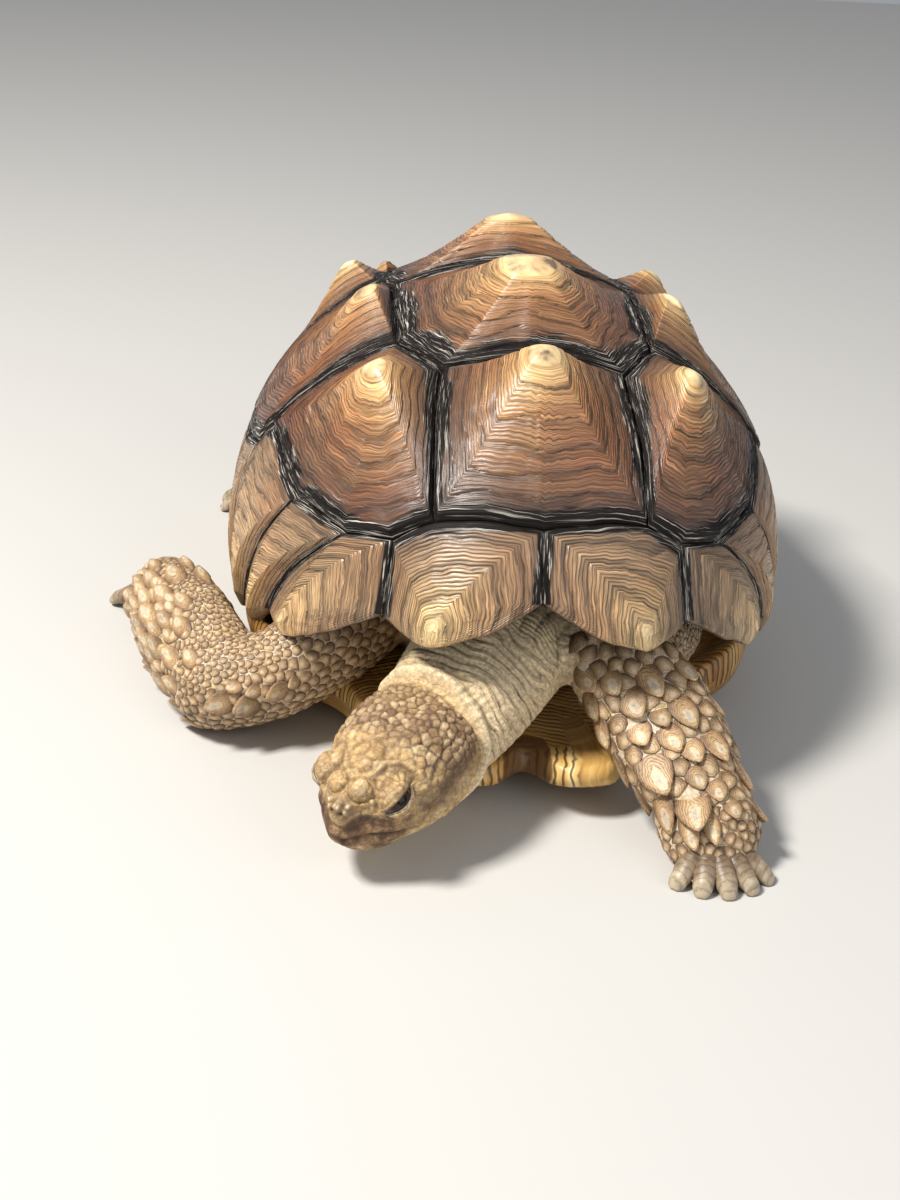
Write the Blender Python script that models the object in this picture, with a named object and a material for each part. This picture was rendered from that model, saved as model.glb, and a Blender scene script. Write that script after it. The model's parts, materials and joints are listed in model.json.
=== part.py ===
"""A sulcata tortoise at life size, as a still museum model resting on its plastron.

Metres, +Z up.  The head looks towards -Y and the animal's left side is +X.
The flat underside of the plastron lies on Z = 0, below the middle of the shell.
"""
import bpy
import bmesh
from math import atan2, ceil, cos, degrees, exp, hypot, pi, radians, sin
from mathutils import Euler, Matrix, Vector

# ---------------------------------------------------------------- driving dimensions
SHELL_HALF_WIDTH = 0.188
SHELL_HALF_LENGTH = 0.250
CROWN_HEIGHT = 0.254          # the dome under the raised plates
CROWN_AHEAD = 0.025           # the dome's top lies this far in front of the middle
WALL_POWER = 1.08             # plan radius = sin(ring angle) to this power
CROWN_POWER = 0.90            # height = cos(ring angle) to this power
RIM_FRONT = 0.124             # height of the shell's edge over the neck
RIM_SIDE = 0.047
RIM_REAR = 0.062
RIM_FLARE = 0.012             # how far the front and rear edges turn outwards
FLARE_START = 0.80            # ring where the turn begins
SIDE_TUCK = 0.013             # how far the side walls stand in at the bridge
TUCK_START = 0.62

PLATE_THICKNESS = 0.0065
RIM_THICKNESS = 0.0040
GAP = 0.0003                  # clearance between neighbouring solids
SEAM_STEP = 0.030             # longest straight stretch of a seam

PLASTRON_TOP = 0.030
BRIDGE_TOP = 0.0455

HEAD_PLACE = (-0.0792, -0.2795, 0.0512)
HEAD_YAW = -37.0              # turned to the animal's right
HEAD_PITCH = 5.0              # nose down
HEAD_ROLL = 2.0
EYE_RADIUS = 0.0085

LIMB_SIDES = 10


# ---------------------------------------------------------------- scene and materials
def clear_scene():
    for item in list(bpy.data.objects):
        bpy.data.objects.remove(item, do_unlink=True)


def new_collection(name):
    collection = bpy.data.collections.new(name)
    bpy.context.scene.collection.children.link(collection)
    return collection


def new_material(name, colour, roughness):
    material = bpy.data.materials.new(name)
    material.use_nodes = True
    shader = material.node_tree.nodes["Principled BSDF"]
    shader.inputs["Base Color"].default_value = (*colour, 1.0)
    shader.inputs["Roughness"].default_value = roughness
    shader.inputs["Metallic"].default_value = 0.0
    return material


clear_scene()
TORTOISE = new_collection("sulcata_tortoise")
CUTTERS = new_collection("cutters")

SHELL_HORN = new_material("shell_horn", (0.42, 0.26, 0.12), 0.55)
PLASTRON_HORN = new_material("plastron_horn", (0.72, 0.50, 0.22), 0.50)
SKIN = new_material("skin", (0.50, 0.36, 0.20), 0.75)
EYE = new_material("eye", (0.03, 0.02, 0.015), 0.10)


def new_object(name, mesh, material, collection=None):
    item = bpy.data.objects.new(name, mesh)
    (collection or TORTOISE).objects.link(item)
    if material:
        mesh.materials.append(material)
    return item


def mesh_from_rings(name, rings, start_point=None, end_point=None):
    """A closed loft: each ring is a list of points, the ends are points or flat faces."""
    shape = bmesh.new()
    rows = [[shape.verts.new(p) for p in ring] for ring in rings]
    count = len(rows[0])
    for low, high in zip(rows, rows[1:]):
        for i in range(count):
            j = (i + 1) % count
            shape.faces.new((low[i], low[j], high[j], high[i]))
    for row, point in ((rows[0], start_point), (rows[-1], end_point)):
        if point is None:
            shape.faces.new(row)
            continue
        tip = shape.verts.new(point)
        for i in range(count):
            shape.faces.new((row[i], row[(i + 1) % count], tip))
    bmesh.ops.triangulate(shape, faces=shape.faces[:], quad_method="SHORT_EDGE",
                          ngon_method="EAR_CLIP")
    bmesh.ops.recalc_face_normals(shape, faces=shape.faces[:])
    mesh = bpy.data.meshes.new(name)
    shape.to_mesh(mesh)
    shape.free()
    return mesh


# ---------------------------------------------------------------- the dome of the shell
def rim_height(bearing):
    ahead = cos(bearing)
    end = RIM_FRONT if ahead > 0 else RIM_REAR
    return RIM_SIDE + (end - RIM_SIDE) * ahead * ahead


def wall_turn(ring, bearing):
    """The wall turns outwards over neck, legs and tail, and stands in along the bridge."""
    flare = max(0.0, (ring - FLARE_START) / (1 - FLARE_START)) ** 2 * RIM_FLARE
    tuck = max(0.0, (ring - TUCK_START) / (1 - TUCK_START)) ** 1.5 * SIDE_TUCK
    return flare * cos(bearing) ** 2 - tuck * sin(bearing) ** 2


def dome(u, v):
    """A point of the dome; (u, v) is ring times the sine and cosine of the bearing."""
    ring = min(hypot(u, v), 0.9999)
    bearing = atan2(u, v)
    angle = ring * pi / 2
    reach = sin(angle) ** WALL_POWER
    half_length = SHELL_HALF_LENGTH + (-CROWN_AHEAD if v > 0 else CROWN_AHEAD)
    turn = wall_turn(ring, bearing)
    edge = rim_height(bearing)
    return Vector((
        (SHELL_HALF_WIDTH * reach + turn) * sin(bearing),
        -CROWN_AHEAD - (half_length * reach + turn) * cos(bearing),
        edge + (CROWN_HEIGHT - edge) * cos(angle) ** CROWN_POWER))


def dome_normal(u, v):
    step = 0.002
    shrink = min(1.0, 0.99 / max(hypot(u, v), 1e-6))
    u, v = u * shrink, v * shrink
    across = dome(u + step, v) - dome(u - step, v)
    along = dome(u, v + step) - dome(u, v - step)
    normal = along.cross(across).normalized()
    return normal if normal.z > -0.2 else -normal


def disc(ring, bearing):
    return (ring * sin(radians(bearing)), ring * cos(radians(bearing)))


# Where plates meet: ring (0 crown, 1 edge) and bearing in degrees from the front.
SEAM_CORNERS = {
    "front_mid": (0.769, 0.0),
    "v1_c1_m1": (0.756, 20.3),
    "m1_m2": (0.800, 27.4),
    "m2_m3": (0.797, 37.2),
    "m3_m4": (0.740, 52.6),
    "c1_c2_m": (0.636, 75.4),
    "m4_m5": (0.690, 79.0),
    "m5_m6": (0.725, 91.0),
    "m6_m7": (0.735, 103.0),
    "c2_c3_m": (0.710, 109.0),
    "m7_m8": (0.750, 117.0),
    "m8_m9": (0.770, 130.0),
    "c3_c4_m": (0.745, 136.5),
    "m9_m10": (0.780, 143.0),
    "m10_m11": (0.790, 155.0),
    "c4_v5_m": (0.770, 161.0),
    "m11_m12": (0.790, 167.5),
    "rear_mid": (0.780, 180.0),
    "v1_v2_c1": (0.393, 31.2),
    "c1_c2_v2": (0.350, 55.5),
    "v2_v3_c2": (0.300, 106.0),
    "c2_c3_v3": (0.350, 119.0),
    "v3_v4_c3": (0.424, 140.0),
    "c3_c4_v4": (0.528, 146.5),
    "v4_v5_c4": (0.605, 162.5),
}

VERTEBRALS = [
    ("v1_c1_m1", "v1_v2_c1", "-v1_v2_c1", "-v1_c1_m1", "front_mid"),
    ("v1_v2_c1", "c1_c2_v2", "v2_v3_c2", "-v2_v3_c2", "-c1_c2_v2", "-v1_v2_c1"),
    ("v2_v3_c2", "c2_c3_v3", "v3_v4_c3", "-v3_v4_c3", "-c2_c3_v3", "-v2_v3_c2"),
    ("v3_v4_c3", "c3_c4_v4", "v4_v5_c4", "-v4_v5_c4", "-c3_c4_v4", "-v3_v4_c3"),
    ("v4_v5_c4", "c4_v5_m", "m11_m12", "rear_mid", "-m11_m12", "-c4_v5_m", "-v4_v5_c4"),
]
COSTALS = [
    ("v1_c1_m1", "m1_m2", "m2_m3", "m3_m4", "c1_c2_m", "c1_c2_v2", "v1_v2_c1"),
    ("c1_c2_m", "m4_m5", "m5_m6", "m6_m7", "c2_c3_m", "c2_c3_v3", "v2_v3_c2", "c1_c2_v2"),
    ("c2_c3_m", "m7_m8", "m8_m9", "c3_c4_m", "c3_c4_v4", "v3_v4_c3", "c2_c3_v3"),
    ("c3_c4_m", "m9_m10", "m10_m11", "c4_v5_m", "v4_v5_c4", "c3_c4_v4"),
]
MARGINALS = [
    ("front_mid", "v1_c1_m1", "m1_m2"),
    ("m1_m2", "m2_m3"),
    ("m2_m3", "m3_m4"),
    ("m3_m4", "c1_c2_m", "m4_m5"),
    ("m4_m5", "m5_m6"),
    ("m5_m6", "m6_m7"),
    ("m6_m7", "c2_c3_m", "m7_m8"),
    ("m7_m8", "m8_m9"),
    ("m8_m9", "c3_c4_m", "m9_m10"),
    ("m9_m10", "m10_m11"),
    ("m10_m11", "c4_v5_m", "m11_m12"),
]
# Where the seams between marginals reach the shell's edge, and how far down they go.
RIM_BEARINGS = (0.0, 26.8, 56.0, 68.0, 81.0, 93.0, 105.0, 118.0, 131.0, 144.0, 156.0, 168.0)
RIM_NOTCHES = (0.930, 0.960, 0.975, 0.985, 0.99, 0.99, 0.99, 0.985, 0.965, 0.955, 0.955, 0.96)

# The oldest, highest spot of each plate: ring, bearing and rise over the dome.
VERTEBRAL_PEAKS = ((0.447, 0.0, 0.036), (0.168, 0.0, 0.032), (0.165, 180.0, 0.028),
                   (0.460, 180.0, 0.024), (0.700, 180.0, 0.018))
COSTAL_PEAKS = ((0.480, 40.0, 0.027), (0.328, 78.0, 0.023), (0.435, 124.5, 0.021),
                (0.545, 150.0, 0.018))
MARGINAL_RISE = 0.005
MARGINAL_PEAK_RING = 0.945
PEAK_SHARE = 0.26             # size of the flat spot against its plate
FLANK_DIP = 0.10              # the flanks are slightly hollow


def corner(name):
    """Disc position of a named corner; a leading minus is its twin on the right side."""
    side = -1 if name.startswith("-") else 1
    u, v = disc(*SEAM_CORNERS[name.lstrip("-")])
    return (side * u, v)


def straight(a, b, steps):
    return [(a[0] + (b[0] - a[0]) * k / steps, a[1] + (b[1] - a[1]) * k / steps)
            for k in range(steps)]


def seam(a, b):
    """Disc points from a up to, but without, b; the same points from either side."""
    steps = max(1, ceil((dome(*a) - dome(*b)).length / SEAM_STEP - 0.2))
    return straight(a, b, steps)


def plate_outline(names):
    spots = [corner(name) for name in names]
    outline = []
    for a, b in zip(spots, spots[1:] + spots[:1]):
        outline += seam(a, b)
    return outline


def top_of(outline):
    return [dome(*spot) for spot in outline]


def sunk(outline, depths):
    return [dome(*spot) - dome_normal(*spot) * depth for spot, depth in zip(outline, depths)]


def toward(points, target, distance):
    """Each point moved a fixed distance towards the target."""
    return [p + (target - p).normalized() * distance for p in points]


def plate(name, outline, peak, rise, depths, under, share=PEAK_SHARE):
    """One raised horn plate: outline, hollow flanks, a small flat peak and a flat wall below.

    peak and under are disc spots: the highest place, and the middle of the underside.
    """
    top = top_of(outline)
    middle = sum(top, Vector()) / len(top)
    up = dome_normal(*peak)
    summit = dome(*peak) + up * rise
    crown = []
    for point in top:
        offset = (point - middle) * share
        crown.append(summit + offset - up * offset.dot(up) - up * (rise * 0.06))
    flank = []
    for low, high in zip(top, crown):
        spot = low.lerp(high, 0.5)
        flank.append(spot - up * (rise * FLANK_DIP))
    edge = toward(top, middle, GAP * 0.7)
    bottom_edge = toward(sunk(outline, depths), middle, GAP * 0.7)
    deepest = dome(*under) - dome_normal(*under) * (max(depths) + 0.002)
    mesh = mesh_from_rings(name, [bottom_edge, edge, flank, crown], deepest, summit)
    return new_object(name, mesh, SHELL_HORN)


def mean_spot(outline):
    return (sum(s[0] for s in outline) / len(outline), sum(s[1] for s in outline) / len(outline))


def mirrored(names):
    return tuple(reversed([n if SEAM_CORNERS[n.lstrip("-")][1] in (0.0, 180.0)
                           else (n[1:] if n.startswith("-") else "-" + n) for n in names]))


def rim_curve(start, end, notch_start, notch_end, steps, summit=0.55):
    """The scalloped free edge of one marginal, from one seam to the next."""
    spots = []
    for k in range(steps + 1):
        share = k / steps
        notch = notch_start + (notch_end - notch_start) * share
        if share < summit:
            lift = sin(share / summit * pi / 2)
        else:
            lift = cos((share - summit) / (1 - summit) * pi / 2)
        ring = notch + (1.0 - notch) * lift ** 0.8
        spots.append(disc(ring, start + (end - start) * share))
    return spots


def marginal(name, names, number, side):
    """A marginal plate: the inner seam, two seams running out, and the scalloped edge."""
    inner = [corner(n) for n in names]
    inner_spots = []
    for a, b in zip(inner, inner[1:]):
        inner_spots += seam(a, b)
    start, end = RIM_BEARINGS[number], RIM_BEARINGS[number + 1]
    rim = rim_curve(start, end, RIM_NOTCHES[number], RIM_NOTCHES[number + 1],
                    5 if end - start > 20 else 4)
    out_seam = straight(inner[-1], rim[-1], 2)
    in_seam = straight(rim[0], inner[0], 2)
    outline = inner_spots + out_seam + list(reversed(rim))[:-1] + in_seam
    on_rim = len(inner_spots) + len(out_seam)
    depths = [RIM_THICKNESS if on_rim <= i < on_rim + len(rim) else PLATE_THICKNESS
              for i in range(len(outline))]
    peak = disc(MARGINAL_PEAK_RING, start + (end - start) * 0.58)
    under = disc(0.90, (start + end) / 2)
    if side < 0:
        outline = [(-u, v) for u, v in reversed(outline)]
        depths.reverse()
        peak = (-peak[0], peak[1])
        under = (-under[0], under[1])
    return plate(name, outline, peak, MARGINAL_RISE, depths, under, share=0.20)


def supracaudal():
    """The single broad plate over the tail."""
    inner = [corner("m11_m12"), corner("rear_mid"), corner("-m11_m12")]
    inner_spots = seam(inner[0], inner[1]) + seam(inner[1], inner[2])
    rim = rim_curve(RIM_BEARINGS[-1], 360 - RIM_BEARINGS[-1], RIM_NOTCHES[-1], RIM_NOTCHES[-1],
                    6, summit=0.5)
    out_seam = straight(inner[2], rim[-1], 2)
    in_seam = straight(rim[0], inner[0], 2)
    outline = inner_spots + out_seam + list(reversed(rim))[:-1] + in_seam
    on_rim = len(inner_spots) + len(out_seam)
    depths = [RIM_THICKNESS if on_rim <= i < on_rim + len(rim) else PLATE_THICKNESS
              for i in range(len(outline))]
    return plate("supracaudal", outline, disc(0.93, 180.0), MARGINAL_RISE, depths,
                 disc(0.90, 180.0), share=0.20)


def carapace():
    for number, (names, (ring, bearing, rise)) in enumerate(zip(VERTEBRALS, VERTEBRAL_PEAKS), 1):
        outline = plate_outline(names)
        plate(f"vertebral_{number}", outline, disc(ring, bearing), rise,
              [PLATE_THICKNESS] * len(outline), mean_spot(outline))
    for number, (names, (ring, bearing, rise)) in enumerate(zip(COSTALS, COSTAL_PEAKS), 1):
        for side, label in ((1, "left"), (-1, "right")):
            outline = plate_outline(names if side > 0 else mirrored(names))
            peak = disc(ring, side * bearing)
            plate(f"costal_{number}_{label}", outline, peak, rise,
                  [PLATE_THICKNESS] * len(outline), mean_spot(outline))
    for number, names in enumerate(MARGINALS):
        for side, label in ((1, "left"), (-1, "right")):
            marginal(f"marginal_{number + 1}_{label}", names, number, side)
    supracaudal()


carapace()


# ---------------------------------------------------------------- trunk
SHOULDER_RING = 0.86          # under the marginal plates the trunk turns down
SHOULDER_DEPTH = 0.018
WAIST = (0.163, 0.185, 0.190)     # half width, reach to the front, reach to the rear
BELLY = (0.138, 0.162, 0.162)
TRUNK_MIDDLE = -0.005


LEG_POCKETS = ((43.0, 0.24), (139.0, 0.20))   # bearing and depth of the hollows for the legs
POCKET_WIDTH = 19.0


def pocket(bearing):
    off = abs(degrees(bearing))
    return 1.0 - sum(depth * exp(-((off - at) / POCKET_WIDTH) ** 2) for at, depth in LEG_POCKETS)


def oval(bearing, size, height):
    half_width, front, rear = size
    reach = front if cos(bearing) > 0 else rear
    share = pocket(bearing)
    return Vector((half_width * share * sin(bearing),
                   TRUNK_MIDDLE - reach * share * cos(bearing), height))


def waist_height(bearing):
    ahead = cos(bearing)
    return 0.050 + (0.060 if ahead > 0 else 0.026) * ahead * ahead


def trunk():
    """The body under the plates: a faceted copy of their undersides, closed below."""
    shape = bmesh.new()
    found = {}

    def vert(spot, depth):
        key = (round(spot[0], 6), round(spot[1], 6))
        if key not in found:
            found[key] = shape.verts.new(dome(*spot) - dome_normal(*spot) * depth)
        return found[key]

    outlines = [plate_outline(names) for names in VERTEBRALS]
    for names in COSTALS:
        outlines += [plate_outline(names), plate_outline(mirrored(names))]
    for outline in outlines:
        row = [vert(spot, PLATE_THICKNESS + GAP) for spot in outline]
        hub = mean_spot(outline)
        middle = shape.verts.new(dome(*hub) - dome_normal(*hub) * (PLATE_THICKNESS + 0.002 + GAP))
        for i in range(len(row)):
            shape.faces.new((row[i], row[(i + 1) % len(row)], middle))

    names = [name for row in MARGINALS for name in row[:-1]] + ["m11_m12", "rear_mid"]
    left = [corner(name) for name in names]
    ring = []
    for a, b in zip(left, left[1:]):
        ring += seam(a, b)
    ring += [left[-1]]
    ring += [(-u, v) for u, v in reversed(ring[1:-1])]
    rows = [[vert(spot, PLATE_THICKNESS + GAP) for spot in ring]]
    bearings = [atan2(u, v) for u, v in ring]
    shoulder = [disc(SHOULDER_RING, degrees(b)) for b in bearings]
    rows.append([shape.verts.new(dome(*s) - dome_normal(*s) * SHOULDER_DEPTH) for s in shoulder])
    rows.append([shape.verts.new(oval(b, WAIST, waist_height(b))) for b in bearings])
    rows.append([shape.verts.new(oval(b, BELLY, PLASTRON_TOP + 0.0012)) for b in bearings])
    for low, high in zip(rows, rows[1:]):
        for i in range(len(low)):
            j = (i + 1) % len(low)
            shape.faces.new((low[i], low[j], high[j], high[i]))
    shape.faces.new(rows[-1])
    bmesh.ops.triangulate(shape, faces=shape.faces[:])
    bmesh.ops.recalc_face_normals(shape, faces=shape.faces[:])
    mesh = bpy.data.meshes.new("trunk")
    shape.to_mesh(mesh)
    shape.free()
    return new_object("trunk", mesh, SKIN)


# ---------------------------------------------------------------- plastron
# Half outline from the fork in front to the notch behind: x, y, lower and upper edge height.
PLASTRON_OUTLINE = (
    (0.000, -0.228, 0.016, 0.032),
    (0.020, -0.250, 0.021, 0.034),
    (0.046, -0.249, 0.021, 0.034),
    (0.058, -0.230, 0.014, 0.032),
    (0.072, -0.208, 0.008, 0.030),
    (0.092, -0.180, 0.006, 0.030),
    (0.104, -0.148, 0.006, 0.030),
    (0.146, -0.112, 0.012, 0.040),
    (0.164, -0.070, 0.022, BRIDGE_TOP),
    (0.168, 0.000, 0.022, BRIDGE_TOP),
    (0.164, 0.060, 0.022, BRIDGE_TOP),
    (0.148, 0.100, 0.012, 0.040),
    (0.112, 0.122, 0.006, 0.030),
    (0.104, 0.150, 0.005, 0.028),
    (0.086, 0.180, 0.005, 0.027),
    (0.056, 0.202, 0.006, 0.026),
    (0.028, 0.198, 0.006, 0.026),
    (0.000, 0.172, 0.004, 0.026),
)
FLAT_SHARE = 0.80             # the flat underside against the outline
INNER_SHARE = 0.87            # the flat upper side against the outline


def plastron():
    half = list(PLASTRON_OUTLINE)
    around = half + [(-x, y, low, high) for x, y, low, high in reversed(half[1:-1])]
    flat = [(x * FLAT_SHARE, y * FLAT_SHARE, 0.0) for x, y, low, high in around]
    lower = [(x, y, low) for x, y, low, high in around]
    upper = [(x, y, high) for x, y, low, high in around]
    inner = [(x * INNER_SHARE, y * INNER_SHARE, PLASTRON_TOP) for x, y, low, high in around]
    mesh = mesh_from_rings("plastron", [flat, lower, upper, inner], (0, 0, 0),
                           (0, 0, PLASTRON_TOP))
    return new_object("plastron", mesh, PLASTRON_HORN)


# ---------------------------------------------------------------- shaping helpers
def curve_through(values, share):
    """Catmull-Rom reading of evenly spaced lists of numbers at a share of the way."""
    last = len(values) - 1
    place = share * last
    k = min(int(place), last - 1)
    t = place - k
    before = values[max(k - 1, 0)]
    after = values[min(k + 2, last)]
    result = []
    for p0, p1, p2, p3 in zip(before, values[k], values[k + 1], after):
        result.append(0.5 * (2 * p1 + (p2 - p0) * t + (2 * p0 - 5 * p1 + 4 * p2 - p3) * t * t
                             + (3 * p1 - p0 - 3 * p2 + p3) * t ** 3))
    return result


def rounded_tube(name, stations, facing, rings=7, sides=LIMB_SIDES, floor=None):
    """A limb: stations are x, y, z, half width, half thickness; facing is its broad side."""
    face = Vector(facing).normalized()
    samples = [curve_through(stations, k / (rings - 1)) for k in range(rings)]
    rows = []
    for k, (x, y, z, wide, thick) in enumerate(samples):
        ahead = Vector(samples[min(k + 1, rings - 1)][:3])
        behind = Vector(samples[max(k - 1, 0)][:3])
        run = (ahead - behind).normalized()
        out = (face - run * face.dot(run)).normalized()
        side = run.cross(out)
        centre = Vector((x, y, z))
        row = []
        for i in range(sides):
            turn = 2 * pi * i / sides
            row.append(centre + side * (wide * cos(turn)) + out * (thick * sin(turn)))
        rows.append((centre, run, min(wide, thick), row))
    first, last = rows[0], rows[-1]
    cap_in = [first[0].lerp(p, 0.72) - first[1] * first[2] * 0.55 for p in first[3]]
    cap_out = [last[0].lerp(p, 0.72) + last[1] * last[2] * 0.55 for p in last[3]]
    loops = [cap_in] + [row[3] for row in rows] + [cap_out]
    start = first[0] - first[1] * first[2] * 0.8
    end = last[0] + last[1] * last[2] * 0.8
    if floor is not None:
        loops = [[Vector((p.x, p.y, max(p.z, floor))) for p in loop] for loop in loops]
        start.z = max(start.z, floor)
        end.z = max(end.z, floor)
    return new_object(name, mesh_from_rings(name, loops, start, end), SKIN)


def grown_copy(item, distance):
    """A cutter: the neighbour's shape before its own cuts, a little larger all round."""
    bpy.context.view_layer.update()
    mesh = item.data.copy()
    mesh.transform(item.matrix_world)
    shape = bmesh.new()
    shape.from_mesh(mesh)
    bmesh.ops.remove_doubles(shape, verts=shape.verts[:], dist=0.00001)
    shape.normal_update()
    for vert in shape.verts:
        vert.co += vert.normal * distance
    shape.to_mesh(mesh)
    shape.free()
    cutter = new_object(f"cutter_{item.name}", mesh, None, CUTTERS)
    cutter.hide_render = True
    cutter.display_type = "WIRE"
    return cutter


def trim(item, *neighbours):
    """Cut an item back to its neighbours, with the usual gap between them."""
    for neighbour in neighbours:
        modifier = item.modifiers.new(f"clear_of_{neighbour.name}", "BOOLEAN")
        modifier.operation = "DIFFERENCE"
        modifier.solver = "EXACT"
        modifier.object = grown_copy(neighbour, GAP * 1.4)


# ---------------------------------------------------------------- head, jaw, eyes, neck
# Along the head: y, half width, top, bottom (nose at -Y).
HEAD_PROFILE = (
    (-0.0515, 0.0060, 0.0040, -0.0120),
    (-0.0490, 0.0125, 0.0085, -0.0200),
    (-0.0420, 0.0195, 0.0150, -0.0260),
    (-0.0300, 0.0270, 0.0215, -0.0295),
    (-0.0150, 0.0330, 0.0275, -0.0315),
    (0.0000, 0.0375, 0.0315, -0.0325),
    (0.0150, 0.0405, 0.0325, -0.0295),
    (0.0300, 0.0395, 0.0305, -0.0240),
    (0.0430, 0.0345, 0.0265, -0.0180),
)
HEAD_SIDES = 16
EYE_SPOT = (0.0215, -0.0285, 0.0050)
MOUTH_FRONT = -0.0140         # height of the mouth's line at the beak
MOUTH_SLOPE = 4.0             # it climbs towards the cheek
JAW_LENGTH = 0.066


def head_frame():
    turn = Euler((radians(HEAD_PITCH), radians(HEAD_ROLL), radians(HEAD_YAW)), "XYZ")
    return Matrix.Translation(HEAD_PLACE) @ turn.to_matrix().to_4x4()


def head_loft(name):
    rows = []
    for y, wide, top, bottom in HEAD_PROFILE:
        middle = bottom + (top - bottom) * 0.48
        row = []
        for i in range(HEAD_SIDES):
            turn = 2 * pi * i / HEAD_SIDES
            c, s = cos(turn), sin(turn)
            across = wide * abs(c) ** 0.85 * (1 if c >= 0 else -1)
            reach = (top - middle) if s >= 0 else (middle - bottom)
            up = reach * abs(s) ** 0.90 * (1 if s >= 0 else -1)
            row.append(Vector((across, y, middle + up)))
        rows.append(row)
    nose = Vector((0, HEAD_PROFILE[0][0] - 0.0012, -0.004))
    nape = Vector((0, HEAD_PROFILE[-1][0] + 0.008, 0.0))
    return mesh_from_rings(name, rows, nose, nape)


def box_cutter(name, centre, size, pitch):
    bpy.ops.mesh.primitive_cube_add(size=1.0)
    cube = bpy.context.active_object
    cube.name = name
    cube.data.transform(Matrix.Translation(centre) @ Matrix.Rotation(radians(pitch), 4, "X")
                        @ Matrix.Diagonal((*size, 1.0)))
    for collection in list(cube.users_collection):
        collection.objects.unlink(cube)
    CUTTERS.objects.link(cube)
    cube.hide_render = True
    cube.display_type = "WIRE"
    return cube


def head_group():
    frame = head_frame()
    head = new_object("head", head_loft("head"), SKIN)
    jaw = new_object("lower_jaw", head_loft("lower_jaw"), SKIN)
    height = 0.040
    middle_y = HEAD_PROFILE[0][0] + JAW_LENGTH / 2 - 0.005
    middle_z = MOUTH_FRONT - height / 2 + sin(radians(MOUTH_SLOPE)) * JAW_LENGTH / 2
    for item, grow, operation in ((head, GAP / 2, "DIFFERENCE"), (jaw, -GAP / 2, "INTERSECT")):
        size = (0.1, JAW_LENGTH + 2 * grow, height + 2 * grow)
        cutter = box_cutter(f"cutter_mouth_{item.name}", (0, middle_y, middle_z), size,
                            MOUTH_SLOPE)
        modifier = item.modifiers.new("mouth", "BOOLEAN")
        modifier.operation = operation
        modifier.solver = "EXACT"
        modifier.object = cutter
        cutter.matrix_world = frame
        item.matrix_world = frame
    for side, label in ((1, "left"), (-1, "right")):
        x, y, z = EYE_SPOT
        bpy.ops.mesh.primitive_uv_sphere_add(segments=12, ring_count=7, radius=EYE_RADIUS)
        eye = bpy.context.active_object
        eye.name = f"eye_{label}"
        eye.data.name = eye.name
        for collection in list(eye.users_collection):
            collection.objects.unlink(eye)
        TORTOISE.objects.link(eye)
        eye.data.materials.append(EYE)
        eye.data.shade_smooth()
        eye.matrix_world = frame @ Matrix.Translation((side * x, y, z))
        trim(head, eye)
    return head


def neck(head):
    item = rounded_tube("neck", NECK, (0.1, -0.4, 0.9), rings=7, sides=12)
    trim(item, head)
    return item


# x, y, z, half width, half thickness along each limb
NECK = (
    (0.000, -0.150, 0.088, 0.044, 0.038),
    (-0.010, -0.180, 0.085, 0.046, 0.037),
    (-0.026, -0.207, 0.075, 0.044, 0.034),
    (-0.043, -0.232, 0.064, 0.041, 0.031),
    (-0.058, -0.252, 0.056, 0.037, 0.029),
)
TAIL = (
    (0.000, 0.172, 0.048, 0.022, 0.018),
    (0.000, 0.200, 0.044, 0.018, 0.015),
    (0.004, 0.225, 0.034, 0.013, 0.011),
    (0.010, 0.246, 0.020, 0.008, 0.007),
    (0.016, 0.258, 0.010, 0.004, 0.004),
)
UPPER_ARM_LEFT = (
    (0.086, -0.094, 0.074, 0.028, 0.030),
    (0.088, -0.118, 0.070, 0.034, 0.034),
    (0.082, -0.146, 0.070, 0.034, 0.034),
    (0.070, -0.172, 0.078, 0.032, 0.030),
)
FOREARM_LEFT = (
    (0.045, -0.186, 0.094, 0.028, 0.022),
    (0.055, -0.208, 0.081, 0.034, 0.024),
    (0.071, -0.232, 0.064, 0.036, 0.023),
    (0.085, -0.256, 0.047, 0.035, 0.021),
    (0.095, -0.274, 0.034, 0.030, 0.019),
)
FOREFOOT_LEFT = (
    (0.095, -0.274, 0.032, 0.028, 0.020),
    (0.099, -0.286, 0.021, 0.031, 0.022),
    (0.101, -0.298, 0.012, 0.028, 0.017),
)
UPPER_ARM_RIGHT = (
    (-0.074, -0.105, 0.074, 0.030, 0.034),
    (-0.104, -0.140, 0.064, 0.030, 0.034),
    (-0.130, -0.152, 0.048, 0.028, 0.031),
    (-0.155, -0.160, 0.038, 0.028, 0.030),
    (-0.176, -0.156, 0.034, 0.030, 0.031),
)
FOREARM_RIGHT = (
    (-0.176, -0.160, 0.032, 0.033, 0.028),
    (-0.189, -0.134, 0.037, 0.035, 0.026),
    (-0.201, -0.104, 0.038, 0.035, 0.024),
    (-0.212, -0.070, 0.036, 0.032, 0.022),
    (-0.221, -0.038, 0.031, 0.028, 0.021),
)
FOREFOOT_RIGHT = (
    (-0.221, -0.038, 0.029, 0.027, 0.021),
    (-0.226, -0.018, 0.023, 0.027, 0.021),
    (-0.230, 0.000, 0.016, 0.024, 0.016),
)
THIGH = (
    (0.086, 0.104, 0.058, 0.032, 0.026),
    (0.106, 0.132, 0.040, 0.034, 0.024),
    (0.130, 0.158, 0.029, 0.032, 0.023),
    (0.148, 0.172, 0.026, 0.030, 0.023),
)
HIND_FOOT = (
    (0.150, 0.178, 0.038, 0.028, 0.026),
    (0.153, 0.178, 0.024, 0.031, 0.030),
    (0.156, 0.178, 0.006, 0.032, 0.031),
)


def mirror_stations(stations):
    return tuple((-x, y, z, wide, thick) for x, y, z, wide, thick in stations)


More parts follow.
